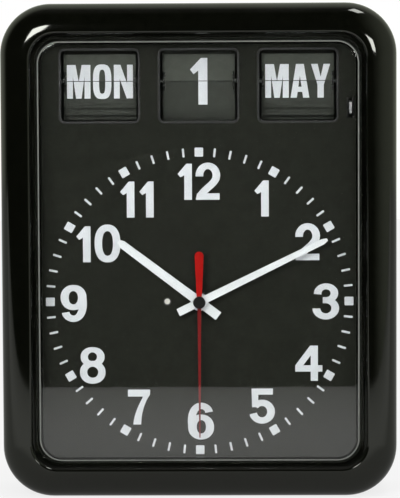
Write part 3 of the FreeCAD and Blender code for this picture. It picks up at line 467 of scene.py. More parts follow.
def finish_material(name, colour, tint, rough, rough_swing, grain=2500.0, grain_depth=0.00002,
                    waves=25.0, wave_depth=0.0, marks=0.5, edge=0.3, edge_colour=None,
                    edge_width=0.0006, dust=0.15, **shader):
    """The common build: two-tone colour, rubbed edges, dust, uneven gloss and a fine bump."""
    # How far smudges, hairlines and dust roughen the surface, and how deep a hairline is cut.
    smudge_dull, line_dull, dust_dull, line_depth = 0.10, 0.12, 0.5, 0.000004
    material, tree, surface = new_material(name, **shader)
    skin_node = use_group(tree, "skin", Grain=grain, Waves=waves)
    marks_node = use_group(tree, "marks", Amount=marks)
    edge_node = use_group(tree, "edges", Width=edge_width, Amount=edge)
    dust_node = use_group(tree, "dust", Amount=dust)
    base = blend_colour(tree, ranged(tree, skin_node.outputs["Blotches"], 0.35, 0.65), colour, tint)
    worn = blend_colour(tree, edge_node.outputs["Edge"], base, edge_colour or [c * 2 for c in tint])
    dusty = blend_colour(tree, dust_node.outputs["Dust"], worn, DUST_COLOUR)
    tree.links.new(dusty, surface.inputs["Base Color"])
    swing = number(tree, "MULTIPLY_ADD", skin_node.outputs["Blotches"], rough_swing,
                   rough - rough_swing / 2)
    swing = number(tree, "MULTIPLY_ADD", marks_node.outputs["Smudges"], smudge_dull, swing)
    swing = number(tree, "MULTIPLY_ADD", marks_node.outputs["Hairlines"], line_dull, swing)
    swing = number(tree, "MULTIPLY_ADD", dust_node.outputs["Dust"], dust_dull, swing, clamp=True)
    tree.links.new(swing, surface.inputs["Roughness"])
    height = number(tree, "MULTIPLY", skin_node.outputs["Grain"], grain_depth)
    height = number(tree, "MULTIPLY_ADD", skin_node.outputs["Waves"], wave_depth, height)
    height = number(tree, "MULTIPLY_ADD", marks_node.outputs["Hairlines"], -line_depth, height)
    bump = add_node(tree, "ShaderNodeBump", Strength=1.0, Distance=1.0, Height=height)
    tree.links.new(bump.outputs["Normal"], surface.inputs["Normal"])
    return material


def grey(value):
    """A neutral colour."""
    return (value,) * 3


def make_case_gloss():
    """Black moulded styrene, glossy over the rolled front and satin along the side walls."""
    material = finish_material("case_gloss", (0.0012, 0.0014, 0.0007), (0.0020, 0.0022, 0.0013),
                               0.055, 0.03, grain=1800.0, grain_depth=0.0000006, waves=14.0,
                               wave_depth=0.00004, marks=0.2, edge=0.25, edge_colour=grey(0.03),
                               dust=0.05, IOR=1.5, Specular_IOR_Level=0.5,
                               Specular_Tint=(0.98, 1.0, 0.92, 1))
    tree = material.node_tree
    target = tree.nodes["Principled BSDF"].inputs["Roughness"]
    satin = ranged(tree, part_of(tree, object_place(tree), "Y"), -0.027, -0.019, 0.0, 0.42)
    tree.links.new(number(tree, "ADD", target.links[0].from_socket, satin), target)
    return material


def make_case_back():
    """Black moulded plastic with a spark-eroded grain."""
    return finish_material("case_back", grey(0.009), grey(0.014), 0.52, 0.12, grain=1500.0,
                           grain_depth=0.00012, marks=0.5, edge=0.5, edge_colour=grey(0.05),
                           dust=0.25)


def make_dial_black():
    """Screen-printed black lacquer on the dial sheet, a touch of olive."""
    return finish_material("dial_black", (0.0120, 0.0130, 0.0095), (0.0165, 0.0175, 0.0135), 0.6,
                           0.10, grain=3200.0, grain_depth=0.000006, marks=0.15, edge=0.1,
                           edge_colour=(0.04, 0.04, 0.035), dust=0.04, Specular_IOR_Level=0.06)


def make_frame_black():
    """Satin black plastic of the window rims."""
    return finish_material("frame_black", grey(0.012), grey(0.018), 0.36, 0.1, grain=2600.0,
                           grain_depth=0.00002, marks=0.2, edge=0.35,
                           edge_colour=(0.07, 0.07, 0.065), edge_width=0.0003, dust=0.06)


def make_leaf_black(name, share):
    """Matt dark sheet of the flaps, at a share of its full tone; a share under one is painted
    shade.
    """
    colour = [part * share for part in (0.058, 0.064, 0.053)]
    tint = [part * share for part in (0.070, 0.077, 0.065)]
    return finish_material(name, colour, tint, 0.62, 0.1, grain=2600.0, grain_depth=0.00001,
                           marks=0.35, edge=0.5, edge_colour=(0.16, 0.17, 0.16),
                           edge_width=0.00015, dust=0.03, Specular_IOR_Level=0.15)


def make_paint(name, colour, tint, rough):
    """Smooth stoved paint or printing ink."""
    return finish_material(name, colour, tint, rough, 0.08, grain=3500.0, grain_depth=0.000003,
                           marks=0.25, edge=0.15, edge_colour=[part * 0.8 for part in tint],
                           edge_width=0.0002, dust=0.02, Specular_IOR_Level=0.2)


def make_hand_red():
    """Red paint, full on the counterweight and darkened along the fine blade."""
    material = make_paint("hand_red", (0.31, 0.003, 0.002), (0.36, 0.005, 0.003), 0.5)
    tree = material.node_tree
    surface = tree.nodes["Principled BSDF"]
    surface.inputs["Specular IOR Level"].default_value = 0.06
    paint = surface.inputs["Base Color"].links[0].from_socket
    above = ranged(tree, part_of(tree, object_place(tree), "Z"), 0.128, 0.131)
    tree.links.new(blend_colour(tree, above, (0.15, 0.010, 0.010), paint),
                   surface.inputs["Base Color"])
    return material


def make_metal(name, colour, tint, rough):
    """Plated or turned metal with a fine grain and hairlines."""
    return finish_material(name, colour, tint, rough, 0.14, grain=1500.0, grain_depth=0.000006,
                           marks=0.8, edge=0.3,
                           edge_colour=[min(1, part * 1.2) for part in colour],
                           edge_width=0.0002, dust=0.05, Metallic=1.0)


def mixed(tree, share, first, second):
    """Two shader nodes mixed by a share."""
    return add_node(tree, "ShaderNodeMixShader", n0=share, n1=first.outputs[0],
                    n2=second.outputs[0])


def make_lens_clear():
    """Clear cast sheet that shadow rays pass, so that the lamps reach the dial."""
    material, tree, surface = new_material("lens_clear", Base_Color=(0.985, 0.992, 0.985, 1),
                                           IOR=1.49, Transmission_Weight=1.0, Metallic=0.0)
    marks_node = use_group(tree, "marks", Amount=0.5)
    skin_node = use_group(tree, "skin", Grain=900.0, Waves=9.0)
    rough = number(tree, "MULTIPLY_ADD", marks_node.outputs["Smudges"], 0.03, 0.004)
    rough = number(tree, "MULTIPLY_ADD", marks_node.outputs["Hairlines"], 0.05, rough)
    tree.links.new(rough, surface.inputs["Roughness"])
    height = number(tree, "MULTIPLY", skin_node.outputs["Waves"], 0.000008)
    height = number(tree, "MULTIPLY_ADD", marks_node.outputs["Hairlines"], -0.000002, height)
    bump = add_node(tree, "ShaderNodeBump", Strength=1.0, Distance=1.0, Height=height)
    tree.links.new(bump.outputs["Normal"], surface.inputs["Normal"])
    rays = add_node(tree, "ShaderNodeLightPath")
    through = add_node(tree, "ShaderNodeBsdfTransparent", Color=(0.93, 0.94, 0.93, 1))
    shaded = mixed(tree, rays.outputs["Is Shadow Ray"], surface, through)
    tree.links.new(shaded.outputs[0], tree.nodes["Material Output"].inputs["Surface"])
    return material


FINISHES = {
    "case_gloss": make_case_gloss(),
    "case_back": make_case_back(),
    "lens_clear": make_lens_clear(),
    "dial_black": make_dial_black(),
    "frame_black": make_frame_black(),
    "leaf_black": make_leaf_black("leaf_black", 1.0),
    # A second leaf finish at six tenths of the tone: painted shade for the stacked leaves below the
    # split.
    "leaf_black_painted_shade": make_leaf_black("leaf_black_painted_shade", 0.6),
    "hand_white": make_paint("hand_white", (0.74, 0.77, 0.79), (0.78, 0.80, 0.82), 0.38),
    "print_white": make_paint("print_white", (0.645, 0.665, 0.70), (0.695, 0.715, 0.745), 0.5),
    "hand_red": make_hand_red(),
    # Pale grey for the tray's edge bead: a painted highlight standing for the lens edge's bright
    # line.
    "tray_edge_painted_highlight": make_paint("tray_edge_painted_highlight", (0.17, 0.18, 0.165), (0.22, 0.23, 0.21), 0.2),
    "hub_black": make_paint("hub_black", grey(0.008), grey(0.012), 0.3),
    "plated_steel": make_metal("plated_steel", (0.55, 0.56, 0.58), (0.66, 0.66, 0.67), 0.28),
    "brass": make_metal("brass", (0.62, 0.42, 0.17), (0.72, 0.50, 0.22), 0.26),
    "gear_white": make_paint("gear_white", (0.66, 0.65, 0.60), (0.72, 0.71, 0.66), 0.45),
    "movement_plastic": finish_material("movement_plastic", grey(0.02), grey(0.028), 0.45, 0.1,
                                        grain=1700.0, grain_depth=0.00006),
    "cell_jacket": make_paint("cell_jacket", (0.026, 0.027, 0.031), (0.036, 0.037, 0.043), 0.3),
}


def dress(piece, finish, body, *replaced, slot=None):
    """Give a piece its finish, its body and the nodes that it stands for."""
    piece.data.materials.clear()
    piece.data.materials.append(FINISHES[finish])
    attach(piece, body)
    if replaced:
        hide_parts(*replaced)
    return piece


def dress_nodes():
    """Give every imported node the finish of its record's slot, but for the nut and the fans."""
    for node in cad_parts.values():
        for slot in node.material_slots:
            wanted = slot.material.name.split(".")[0] if slot.material else ""
            slot.material = FINISHES.get(wanted, FINISHES["movement_plastic"])
    # The three leaf stacks take the darker copy of the leaf finish: painted shade on the leaves
    # below the split.
    for name, finish in (("centre_nut", "hub_black"), ("day_leaves", "leaf_black_painted_shade"),
                         ("date_leaves", "leaf_black_painted_shade"), ("month_leaves", "leaf_black_painted_shade")):
        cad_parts[name].material_slots[0].material = FINISHES[finish]


# ---------------------------------------------------------------- case

def crown_sections():
    """Outlines over the frame's rolled front, from its side wall to the tray's seat."""
    roll_in, roll_deep, roll_steps = 18.4, 14, 14
    lip_in, lip_deep, lip_steps = 2.25, 3.6, 7
    sections = []
    for step in range(roll_steps + 1):
        turn = PI / 2 * step / roll_steps
        sections.append((roll_in * (1 - math.cos(turn)),
                         CASE_FRONT + roll_deep * (1 - math.sin(turn))))
    for step in range(1, lip_steps + 1):
        turn = PI / 2 * step / lip_steps
        sections.append((roll_in + lip_in * math.sin(turn),
                         CASE_FRONT + lip_deep * (1 - math.cos(turn))))
    # At its inner edge the roll has come in this far across, up and at the corners' radius.
    across, up, tighter = 20.65, 20.3, 17
    width, height, radius = CASE_OUTLINE
    return [(depth, width - 2 * inward, height - 2 * inward * up / across,
             radius - tighter * inward / across) for inward, depth in sections]


def make_bezel():
    """Rolled frame: outer roll, crown, inner roll down to the tray's seat, and the dial well."""
    crown = crown_sections()
    seat_and_well = [(SEAT_BACK, 222.7, 289.4, 17), (SEAT_BACK, *WELL_OUTLINE),
                     (DIAL_FACE, *WELL_OUTLINE), (DIAL_FACE, *CASE_INSIDE),
                     (CASE_JOINT, *CASE_INSIDE)]
    piece = skin("bezel", [(CASE_JOINT, *CASE_OUTLINE)] + crown + seat_and_well, closed=True,
                 segments=18)
    joint_edge, well_edge = 0, len(crown) + 2
    round_ring(piece, joint_edge, 0.4, 2)
    round_ring(piece, well_edge, 0.6, 3)
    dress(finish_shape(piece, 40), "case_gloss", "case", "front_bezel")


def make_rear_shell():
    """Back shell with its openings and four deep screw wells."""
    wall, cut_from, cut_to = 2.5, 36, 46
    knob_place, hanger_corner = (16.10, 118.72), 3
    piece = skin("rear_shell", [(CASE_JOINT, *CASE_OUTLINE), (CASE_BACK, *CASE_OUTLINE)])
    hollow = skin("shell_hollow", [(CASE_JOINT - 1, *CASE_INSIDE),
                                   (CASE_BACK - wall, *CASE_INSIDE)])
    for solid in (piece, hollow):
        close_ring(solid, 0)
        close_ring(solid, 1)
    round_ring(hollow, 1, 3, 3)
    round_ring(piece, 1, 5, 6)
    round_ring(piece, 0, 0.4, 2)
    finish_shape(piece, 40, weighted=False)
    cut_out(piece, finish_shape(hollow, 40, weighted=False))
    cut_out(piece, block("battery_cut", (-36, cut_from, 41), (36, cut_to, 83)))
    cut_out(piece, drum("knob_cut", knob_place, 9.5, cut_from, cut_to, 64))
    hanger_hole = block("hanger_cut", (-12, cut_from, 280), (12, cut_to, 302))
    bevel(hanger_hole, runs_back, hanger_corner, 5)
    cut_out(piece, hanger_hole)
    posts = []
    for side in (-1, 1):
        for up in SCREW_UPS:
            place = (side * SCREW_ACROSS, up)
            cut_out(piece, drum("well_cut", place, 3.2, SCREW_SEAT, cut_to, 40))
            post = drum("screw_post", place, 4.6, SCREW_SEAT - 7, 40.5, 40)
            posts.append(cut_out(post, drum("post_cut", place, 3.2, SCREW_SEAT, cut_to, 40)))
    piece = join("rear_shell", [piece] + posts)
    dress(finish_shape(piece, 35), "case_back", "case", "rear_cover")


def make_case_screws():
    """Four pan-head screws at the bottom of the wells, each with a cross recess."""
    left, low, high = -SCREW_ACROSS, *SCREW_UPS
    screw = drum("case_screw", (left, low), 2.9, SCREW_SEAT, SCREW_SEAT + 2.2, 40)
    bevel(screw, lambda edge: all(vertex.co.y > 0.0181 for vertex in edge.verts), 1.1, 5)
    for wide, tall in ((3.4, 0.8), (0.8, 3.4)):
        cut_out(screw, block("cross_cut", (left - wide / 2, SCREW_SEAT + 0.9, low - tall / 2),
                             (left + wide / 2, SCREW_SEAT + 3, low + tall / 2)))
    screws = [finish_shape(screw, 35)]
    for name, across, up in (("case_screw_b", -2 * left, 0), ("case_screw_c", 0, high - low),
                             ("case_screw_d", -2 * left, high - low)):
        screws.append(copy_of(screw, name, across, up))
    for piece in screws:
        dress(piece, "plated_steel", "case")


def make_lens_tray():
    """Clear tray with drafted sides, two millimetres thick, and a bead round its front edge whose
    pale grey is a painted highlight.
    """
    piece = skin("lens_tray", [(SEAT_BACK, 222.1, 288.8, 16.7), (-40.5, 213.6, 280, 15),
                               (-38.5, 209.6, 276, 13), (SEAT_BACK, 218.1, 284.8, 14.7)],
                 pairs=((0, 1), (2, 3), (3, 0)), segments=28)
    close_ring(piece, 1)
    close_ring(piece, 2)
    round_ring(piece, 1, 1.7, 8)
    round_ring(piece, 2, 0.8, 3)
    dress(finish_shape(piece, 40), "lens_clear", "lens", "lens")
    # The bead's pale grey paint is a painted highlight for the bright line along the tray's rounded
    # front edge.
    bead = skin("lens_edge_highlight_bead", [(-39.95, 213.8, 280.2, 15.1), (-40.3, 213.2, 279.6, 14.8),
                                   (-40.45, 212.5, 278.9, 14.4), (-40.35, 211.8, 278.2, 14.1),
                                   (-39.7, 211.8, 278.2, 14.1), (-39.6, 213.8, 280.2, 15.1)],
                closed=True, segments=28)
    dress(finish_shape(bead, 60), "tray_edge_painted_highlight", "lens", slot="lens_clear")


def make_window_rims():
    """Thin proud rims round the three windows, with the tunnels behind them."""
    outer, inner, tunnel = (54.8, 50.5, 4.6), (51.6, 47.3, 3), (53, 48.7, 3.7)
    proud, end = DIAL_FACE - 0.8, DIAL_FACE + 6
    first = skin("day_window_rim", [(DIAL_FACE, *outer), (proud, *outer), (proud, *inner),
                                    (end, *inner), (end, *tunnel), (DIAL_FACE, *tunnel)],
                 middle=(-WINDOW_PITCH, WINDOW_UP), closed=True, segments=6)
    round_ring(first, 1, 0.35, 3)
    round_ring(first, 2, 0.35, 3)
    finish_shape(first, 40)
    rims = [first, copy_of(first, "date_window_rim", WINDOW_PITCH),
            copy_of(first, "month_window_rim", 2 * WINDOW_PITCH)]
    for piece, unit in zip(rims, UNITS):
        dress(piece, "frame_black", "case", unit[0] + "_window_frame")


# ---------------------------------------------------------------- drawn shapes

def oval(across, up, wide, tall, start=0, end=360, steps=48, fullness=2.0):
    """Points along an oval between two angles, squarer where the fullness is above two."""
    points = []
    for step in range(steps + (0 if end - start == 360 else 1)):
        angle = math.radians(start + (end - start) * step / steps)
        cosine, sine = math.cos(angle), math.sin(angle)
        points.append((across + wide * math.copysign(abs(cosine) ** (2 / fullness), cosine),
                       up + tall * math.copysign(abs(sine) ** (2 / fullness), sine)))
    return points


def pen(points, wide, tall, floor=0.0):
    """The outline of a stroke along points, with a pen of its own width and height."""
    left, right = [], []
    for index, (across, up) in enumerate(points):
        before, after = points[max(index - 1, 0)], points[min(index + 1, len(points) - 1)]
        along = Vector((after[0] - before[0], after[1] - before[1])).normalized()
        side = (-along.y * wide / 2, along.x * tall / 2)
        left.append((across + side[0], max(floor, up + side[1])))
        right.append((across - side[0], max(floor, up - side[1])))
    return left + right[::-1]


def half_turned(shapes, wide, tall):
    """Shapes turned half round in their box."""
    return [[[(wide - across, tall - up) for across, up in outline] for outline in shape]
            for shape in shapes]


# Numerals: each is a list of strokes, and each stroke a list of outlines of (across, up).
ONE = [[[(4.45, 0), (9.6, 0), (9.6, 24.2), (5.8, 24.2), (0, 17.3), (2.0, 15.1), (4.45, 16.5)]]]
TWO = [[pen([(2.6, 15.7)] + oval(8.3, 16.35, 5.7, 6.4, 180, 0, 24)
            + [(13.75, 14.4), (13.0, 12.9), (11.65, 11.2), (10.0, 9.6), (8.3, 8.1), (6.6, 6.6),
               (5.15, 5.15), (4.0, 3.7), (3.1, 2.0), (2.6, 0.0)], 5.15, 4.3)],
       [[(0.2, 0), (16.1, 0), (16.1, 4.3), (0.9, 4.3)]]]
THREE = [[pen([(3.1, 17.1)] + oval(8.8, 17.75, 5.6, 4.65, 178, -90, 30), 5.1, 4.0)],
         [[(6.6, 11.05), (9.2, 11.05), (9.2, 15.1), (6.6, 15.1)]],
         [pen(oval(8.6, 7.6, 6.35, 5.5, 90, -180, 34) + [(2.3, 7.2)], 5.2, 4.1)]]
FOUR = [[[(0, 6.25), (0, 10.5), (10.0, 23.8), (15.2, 23.8), (15.2, 10.5), (18.2, 10.5),
          (18.2, 6.25), (15.2, 6.25), (15.2, 0), (10.4, 0), (10.4, 6.25)],
         [(5.3, 10.5), (10.4, 10.5), (10.4, 17.2)]]]
FIVE = [[[(1.15, 23.8), (15.55, 23.8), (15.55, 19.7), (5.75, 19.7), (5.3, 11.2), (1.5, 11.2)]],
        [pen(oval(8.2, 8.15, 6.1, 6.0, 142, -168, 34), 5.2, 4.3)]]
SEVEN = [[[(0, 23.7), (14.9, 23.7), (14.9, 20.3), (13.6, 18.4), (12.4, 16.2), (11.4, 13.9),
           (10.6, 11.6), (9.9, 9.0), (9.35, 6.4), (8.95, 3.4), (8.75, 0), (3.4, 0), (3.85, 2.8),
           (4.4, 5.4), (5.2, 8.0), (6.2, 10.7), (7.3, 13.3), (8.6, 15.9), (10.2, 19.0),
           (0, 19.0)]]]
EIGHT = [[oval(8.6, 18.15, 8.1, 6.65, fullness=2.1), oval(8.5, 18.2, 3.1, 3.05)],
         [oval(8.6, 7.75, 8.65, 7.75, fullness=2.1), oval(8.6, 7.8, 3.75, 3.75)]]
NINE = [[oval(8.75, 16.5, 8.75, 8.5, fullness=2.1), oval(8.6, 16.35, 3.1, 4.5, fullness=2.2)],
        [pen(oval(8.7, 12.5, 6.4, 10.35, 25, -90, 24, fullness=2.15)
             + oval(8.7, 7.1, 5.4, 4.95, -96, -172, 16), 5.2, 4.3)]]
SIX = half_turned(NINE, 17.6, 25)
ZERO = [[oval(8.7, 12.6, 8.7, 12.75, fullness=2.3), oval(8.7, 12.6, 3.65, 8.3, fullness=2.3)]]

# Each print on the dial: its shapes with their left edges, and its baseline, both counted
# from the dial's centre.
NUMERALS = (("numeral_12", ((ONE, -14.35), (TWO, -2.3)), 68.5), ("numeral_1", ((ONE, 37.2),), 57.1),
            ("numeral_2", ((TWO, 64.5),), 27.6), ("numeral_3", ((THREE, 76.3),), -12.5),
            ("numeral_4", ((FOUR, 64.3),), -53.9), ("numeral_5", ((FIVE, 33.6),), -82.9),
            ("numeral_6", ((SIX, -8.2),), -93.6), ("numeral_7", ((SEVEN, -48.6),), -83.3),
            ("numeral_8", ((EIGHT, -80.9),), -55.5), ("numeral_9", ((NINE, -93.6),), -13.6),
            ("numeral_10", ((ONE, -82.7), (ZERO, -70.4)), 26.7),
            ("numeral_11", ((ONE, -53.0), (ONE, -40.1)), 56.7))


def make_numerals():
    """The twelve numerals, each stroke printed a little in front of the one before."""
    layer = 0.015
    for name, glyphs, base in NUMERALS:
        parts = []
        for glyph, left in glyphs:
            for step, shape in enumerate(glyph):
                place = (left + DIAL_CENTRE[0], base + DIAL_CENTRE[1])
                parts.append(flat_shape(name, shape, INK_THICK, INK_FACE - layer * step, place))
        dress(join(name, parts), "print_white", "case", slot="hand_white")


def make_dial_marks():
    """Sixty marks round the dial: a square at each hour and a bar at each minute between."""
    middle = (DIAL_CENTRE[0], DIAL_FACE, DIAL_CENTRE[1])
    for name, wide, tall, clip in (("hour_marks", 5.7, 6.0, 0.35),
                                   ("minute_marks", 1.4, 5.9, 0.3)):
        low, high = MARKS_RADIUS - tall / 2, MARKS_RADIUS + tall / 2
        corners = [(-wide / 2 + clip, low), (wide / 2 - clip, low), (wide / 2, low + clip),
                   (wide / 2, high - clip), (wide / 2 - clip, high), (-wide / 2 + clip, high),
                   (-wide / 2, high - clip), (-wide / 2, low + clip)]
        first = flat_shape(name, [corners], INK_THICK, INK_FACE, DIAL_CENTRE)
        marks = []
        for minute in range(60):
            if (minute % 5 == 0) == (name == "hour_marks"):
                mark = copy_of(first, name + "_copy")
                marks.append(turn_about(mark, "Y", math.radians(minute * 6), middle))
        bpy.data.objects.remove(first)
        dress(join(name, marks), "print_white", "case", slot="hand_white")


# Condensed capitals and two figures for the flaps: the width and the strokes of each.
LETTERS = {
    "M": (15.8, [[[(0, 0), (0, 22.6), (5.8, 22.6), (7.9, 11.2), (10, 22.6), (15.8, 22.6), (15.8, 0),
                   (11.75, 0), (11.85, 15.0), (9.75, 0), (6.05, 0), (3.95, 15.0), (3.95, 0)]]]),
    "A": (12.6, [[[(0, 0), (3.7, 22.6), (8.9, 22.6), (12.6, 0), (8.45, 0), (7.85, 3.9), (4.75, 3.9),
                   (4.15, 0)], [(5.2, 7.3), (7.4, 7.3), (6.3, 14.8)]]]),
    "Y": (12.8, [[[(4.3, 0), (4.3, 8.6), (0, 22.6), (4.4, 22.6), (6.4, 14.0), (8.4, 22.6),
                   (12.8, 22.6), (8.5, 8.6), (8.5, 0)]]]),
    "N": (12.8, [[[(0, 0), (0, 22.6), (4.4, 22.6), (8.9, 10.0), (8.9, 22.6), (12.8, 22.6),
                   (12.8, 0), (8.6, 0), (3.9, 13.2), (3.9, 0)]]]),
    "O": (12.4, [[oval(6.2, 11.3, 6.2, 11.6, fullness=3.0),
                  oval(6.2, 11.3, 2.1, 8.1, fullness=3.0)]]),
    "T": (11.6, [[[(3.7, 0), (3.7, 19.0), (0, 19.0), (0, 22.6), (11.6, 22.6), (11.6, 19.0),
                   (7.9, 19.0), (7.9, 0)]]]),
    "U": (12.2, [[pen([(2.05, 22.6), (2.05, 10.0)] + oval(6.1, 6.3, 4.05, 4.5, 180, 360, 24, 2.4)
                      + [(10.15, 10.0), (10.15, 22.6)], 4.1, 3.6, -0.2)]]),
    "E": (10.2, [[[(0, 0), (0, 22.6), (10.0, 22.6), (10.0, 19.0), (4.1, 19.0), (4.1, 13.4),
                   (8.9, 13.4), (8.9, 9.8), (4.1, 9.8), (4.1, 3.6), (10.2, 3.6), (10.2, 0)]]]),
    "J": (9.8, [[pen([(7.75, 22.6), (7.75, 10.0)] + oval(4.9, 5.6, 2.85, 3.8, 0, -180, 20, 2.4)
                     + [(2.05, 7.6)], 4.1, 3.6, -0.2)]]),
    "1": (11.6, [[[(5.5, 0), (11.6, 0), (11.6, 31.3), (7.3, 31.3), (0, 23.6), (2.3, 20.4),
                   (5.5, 22.9)]]]),
    "2": (19.0, [[pen([(3.0, 20.3)] + oval(9.5, 21.6, 6.5, 7.3, 180, 0, 24)
                      + [(15.6, 18.8), (14.4, 16.4), (12.4, 13.8), (9.6, 10.8), (7.0, 7.9),
                         (4.8, 4.9), (3.4, 2.2), (3.0, 0)], 6.0, 5.0)],
                 [[(0.1, 0), (18.5, 0), (18.5, 5.2), (1.6, 5.2)]]])}


def draw_word(name, word, across, face, gap):
    """A word centred on a window and close to the split, as a thin print on a leaf's face."""
    thick, proud, layer, drop = 0.02, 0.015, 0.006, 0.2
    tall = FIGURE_TALL if word.isdigit() else CAPITAL_TALL
    wide = sum(LETTERS[letter][0] for letter in word) + gap * (len(word) - 1)
    left, parts = across - wide / 2, []
    for letter in word:
        width, strokes = LETTERS[letter]
        for step, shape in enumerate(strokes):
            place = (left, SPLIT_UP - tall / 2 - drop)
            parts.append(flat_shape(name, shape, thick, face - proud - layer * step, place))
        left += width + gap
    return join(name, parts)


def keep_half(piece, upper):
    """Cut a print at the split and keep one half, clear of the gap."""
    clear = 0.25
    cut_up = SPLIT_UP + clear if upper else SPLIT_UP - clear
    take(piece)
    bpy.ops.object.mode_set(mode="EDIT")
    bpy.ops.mesh.select_all(action="SELECT")
    bpy.ops.mesh.bisect(plane_co=Vector((0, 0, cut_up)) * MM, plane_no=(0, 0, 1),
                        clear_inner=upper, clear_outer=not upper, use_fill=True)
    leave_edit()


def make_flap_words():
    """Each window's value in two halves, and the next value behind it in two halves."""
    words = {"day": ("MON", "TUE"), "date": ("1", "2"), "month": ("MAY", "JUN")}
    for unit, across, count in UNITS:
        step = 2 * PI / count
        pin_back = SPOOL_BACK - SPOOL_PIN * math.cos(step / 2)
        gap = 1.7 if unit == "day" else 1.2
        now, following = words[unit]
        # The next upper half stands one step behind on the spool. The next lower half is on the
        # back of the falling leaf, and faces forward when that has fallen.
        for half, word, body, turn, centre_back in (
                ("word_upper", now, "falling_leaf", 0, 0),
                ("word_lower", now, "spool", 0, 0),
                ("next_upper", following, "spool", -step, SPOOL_BACK),
                ("next_lower", following, "falling_leaf", PI, pin_back)):
            piece = draw_word(unit + "_" + half, word, across, pin_back - LEAF_THICK / 2, gap)
            keep_half(piece, half.endswith("upper"))
            if turn:
                turn_about(piece, "X", turn, (0, centre_back, SPLIT_UP))
            dress(piece, "print_white", unit + "_" + body, slot="hand_white")


def make_hub_details():
    """The domed cap on the hands and the pale post behind the peep hole."""
    cap = drum("hub_cap", DIAL_CENTRE, 4.15, -29.3, -27.6, 64)
    bevel(cap, in_front_of(-29.2), 1.2, 6)
    dress(finish_shape(cap, 50), "hub_black", "second", "hand_cap", slot="frame_black")
    post = drum("peep_post", (-21.7, DIAL_CENTRE[1]), 1.9, -17.75, -17.5, 40)
    bevel(post, in_front_of(-17.74), 0.15, 2)
    dress(finish_shape(post), "gear_white", "case")


# ---------------------------------------------------------------- stage

def make_floor():
    """A pale plain floor under and behind the clock, which stops a little way in front of it."""
    deselect_all()
    bpy.ops.mesh.primitive_plane_add(size=1, location=(0, 1.1625, 0))
    floor = rename(bpy.context.object, "floor")
    floor.scale = (8, 3.675, 1)
    settle(floor)
    material, tree, surface = new_material("floor_paper", Roughness=0.9)
    place = object_place(tree)
    front = number(tree, "MULTIPLY_ADD", noise(tree, place, 6.0), 0.05,
                   part_of(tree, place, "Y"))
    near = ranged(tree, front, -0.66, -0.62, 0.2, 0.48)
    far = ranged(tree, front, -0.60, -0.32, 0.0, 0.48)
    pale = number(tree, "ADD", near, far)
    # In a mirror the floor is half as pale from just in front of the clock backwards.
    under = ranged(tree, front, -0.24, -0.12, 1.0, 0.5)
    rays = add_node(tree, "ShaderNodeLightPath")
    change = number(tree, "SUBTRACT", number(tree, "MULTIPLY", pale, under), pale)
    pale = number(tree, "MULTIPLY_ADD", change, rays.outputs["Is Glossy Ray"], pale)
    shade = add_node(tree, "ShaderNodeCombineColor", n0=pale, n1=pale, n2=pale).outputs[0]
    tree.links.new(shade, surface.inputs["Base Color"])
    # To the camera it mostly glows white, and in a mirror in part, so that it stays pale there.
    seen_glow, mirror_glow = 0.8, 0.7
    seen = number(tree, "MULTIPLY", rays.outputs["Is Camera Ray"], seen_glow)
    mirrored = number(tree, "MULTIPLY", rays.outputs["Is Glossy Ray"],
                      number(tree, "MULTIPLY", pale, mirror_glow))
    glow = add_node(tree, "ShaderNodeEmission", Color=WHITE, Strength=1.0)
    shaded = mixed(tree, number(tree, "ADD", seen, mirrored), surface, glow)
    tree.links.new(shaded.outputs[0], tree.nodes["Material Output"].inputs["Surface"])
    floor.data.materials.append(material)


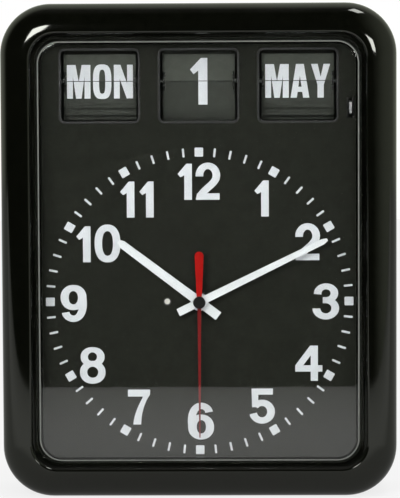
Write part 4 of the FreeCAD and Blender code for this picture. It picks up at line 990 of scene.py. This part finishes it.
def make_world():
    """White to look at, soft grey as light, and in a mirror pale behind and on the right only."""
    world = bpy.data.worlds.new("studio")
    bpy.context.scene.world = world
    world.use_nodes = True
    tree = world.node_tree
    tree.nodes.clear()
    way = add_node(tree, "ShaderNodeTexCoord").outputs["Generated"]
    behind = ranged(tree, part_of(tree, way, "Y"), -0.15, 0.35, 0.012, 0.64, smooth=True)
    right = ranged(tree, part_of(tree, way, "X"), 0.15, 0.95, 0.0, 0.5, smooth=True)
    pale = number(tree, "MAXIMUM", behind, right)
    diffuse = add_node(tree, "ShaderNodeBackground", Color=WHITE, Strength=0.48)
    mirrored = add_node(tree, "ShaderNodeBackground", Color=(0.94, 1, 0.82, 1), Strength=pale)
    seen = add_node(tree, "ShaderNodeBackground", Color=WHITE, Strength=1.0)
    rays = add_node(tree, "ShaderNodeLightPath")
    gloss = number(tree, "GREATER_THAN", rays.outputs["Glossy Depth"], 0.5)
    bounces = number(tree, "ADD", rays.outputs["Diffuse Depth"], rays.outputs["Glossy Depth"])
    straight = number(tree, "LESS_THAN", bounces, 0.5)
    sky = mixed(tree, straight, mixed(tree, gloss, diffuse, mirrored), seen)
    out = tree.nodes.new("ShaderNodeOutputWorld")
    tree.links.new(sky.outputs[0], out.inputs["Surface"])


def make_lamps():
    """A softbox beside the viewer on the left, a small one on the right and a lamp above."""
    for name, place, size, power in (("key_softbox", (-0.385, -1.19, 0.62), 0.27, 5.3),
                                     ("side_softbox", (0.50, -1.24, 0.45), 0.20, 2.2),
                                     ("overhead_lamp", (0.52, -0.30, 1.73), 0.4, 5)):
        deselect_all()
        bpy.ops.object.light_add(type="AREA", location=place)
        lamp = bpy.context.object
        lamp.name = name
        lamp.data.size = size
        lamp.data.energy = power
        aim = Vector((0, 0, MIDDLE_UP * MM)) - Vector(place)
        lamp.rotation_euler = aim.to_track_quat("-Z", "Y").to_euler()


def make_camera():
    """A long lens a little above and to the right of straight on."""
    deselect_all()
    place = Vector((0.0390, -2.0252, 0.3078))
    bpy.ops.object.camera_add(location=place)
    camera = bpy.context.object
    camera.name = "camera"
    camera.data.lens = 216.4
    camera.data.sensor_width = 36
    aim = Vector((0.0007, -0.0305, 0.1662)) - place
    turn = aim.to_track_quat("-Z", "Y").to_euler()
    turn.rotate_axis("Z", math.radians(-0.275))
    camera.rotation_euler = turn
    camera.data.clip_start, camera.data.clip_end = 0.05, 30
    bpy.context.scene.camera = camera


def make_scene():
    """Everything, in the order of making."""
    make_camera()
    make_floor()
    make_world()
    make_lamps()
    bpy.context.scene.view_settings.view_transform = "Standard"
    dress_nodes()
    make_bezel()
    make_rear_shell()
    make_case_screws()
    make_lens_tray()
    make_window_rims()
    make_numerals()
    make_dial_marks()
    make_flap_words()
    make_hub_details()
    deselect_all()


make_scene()
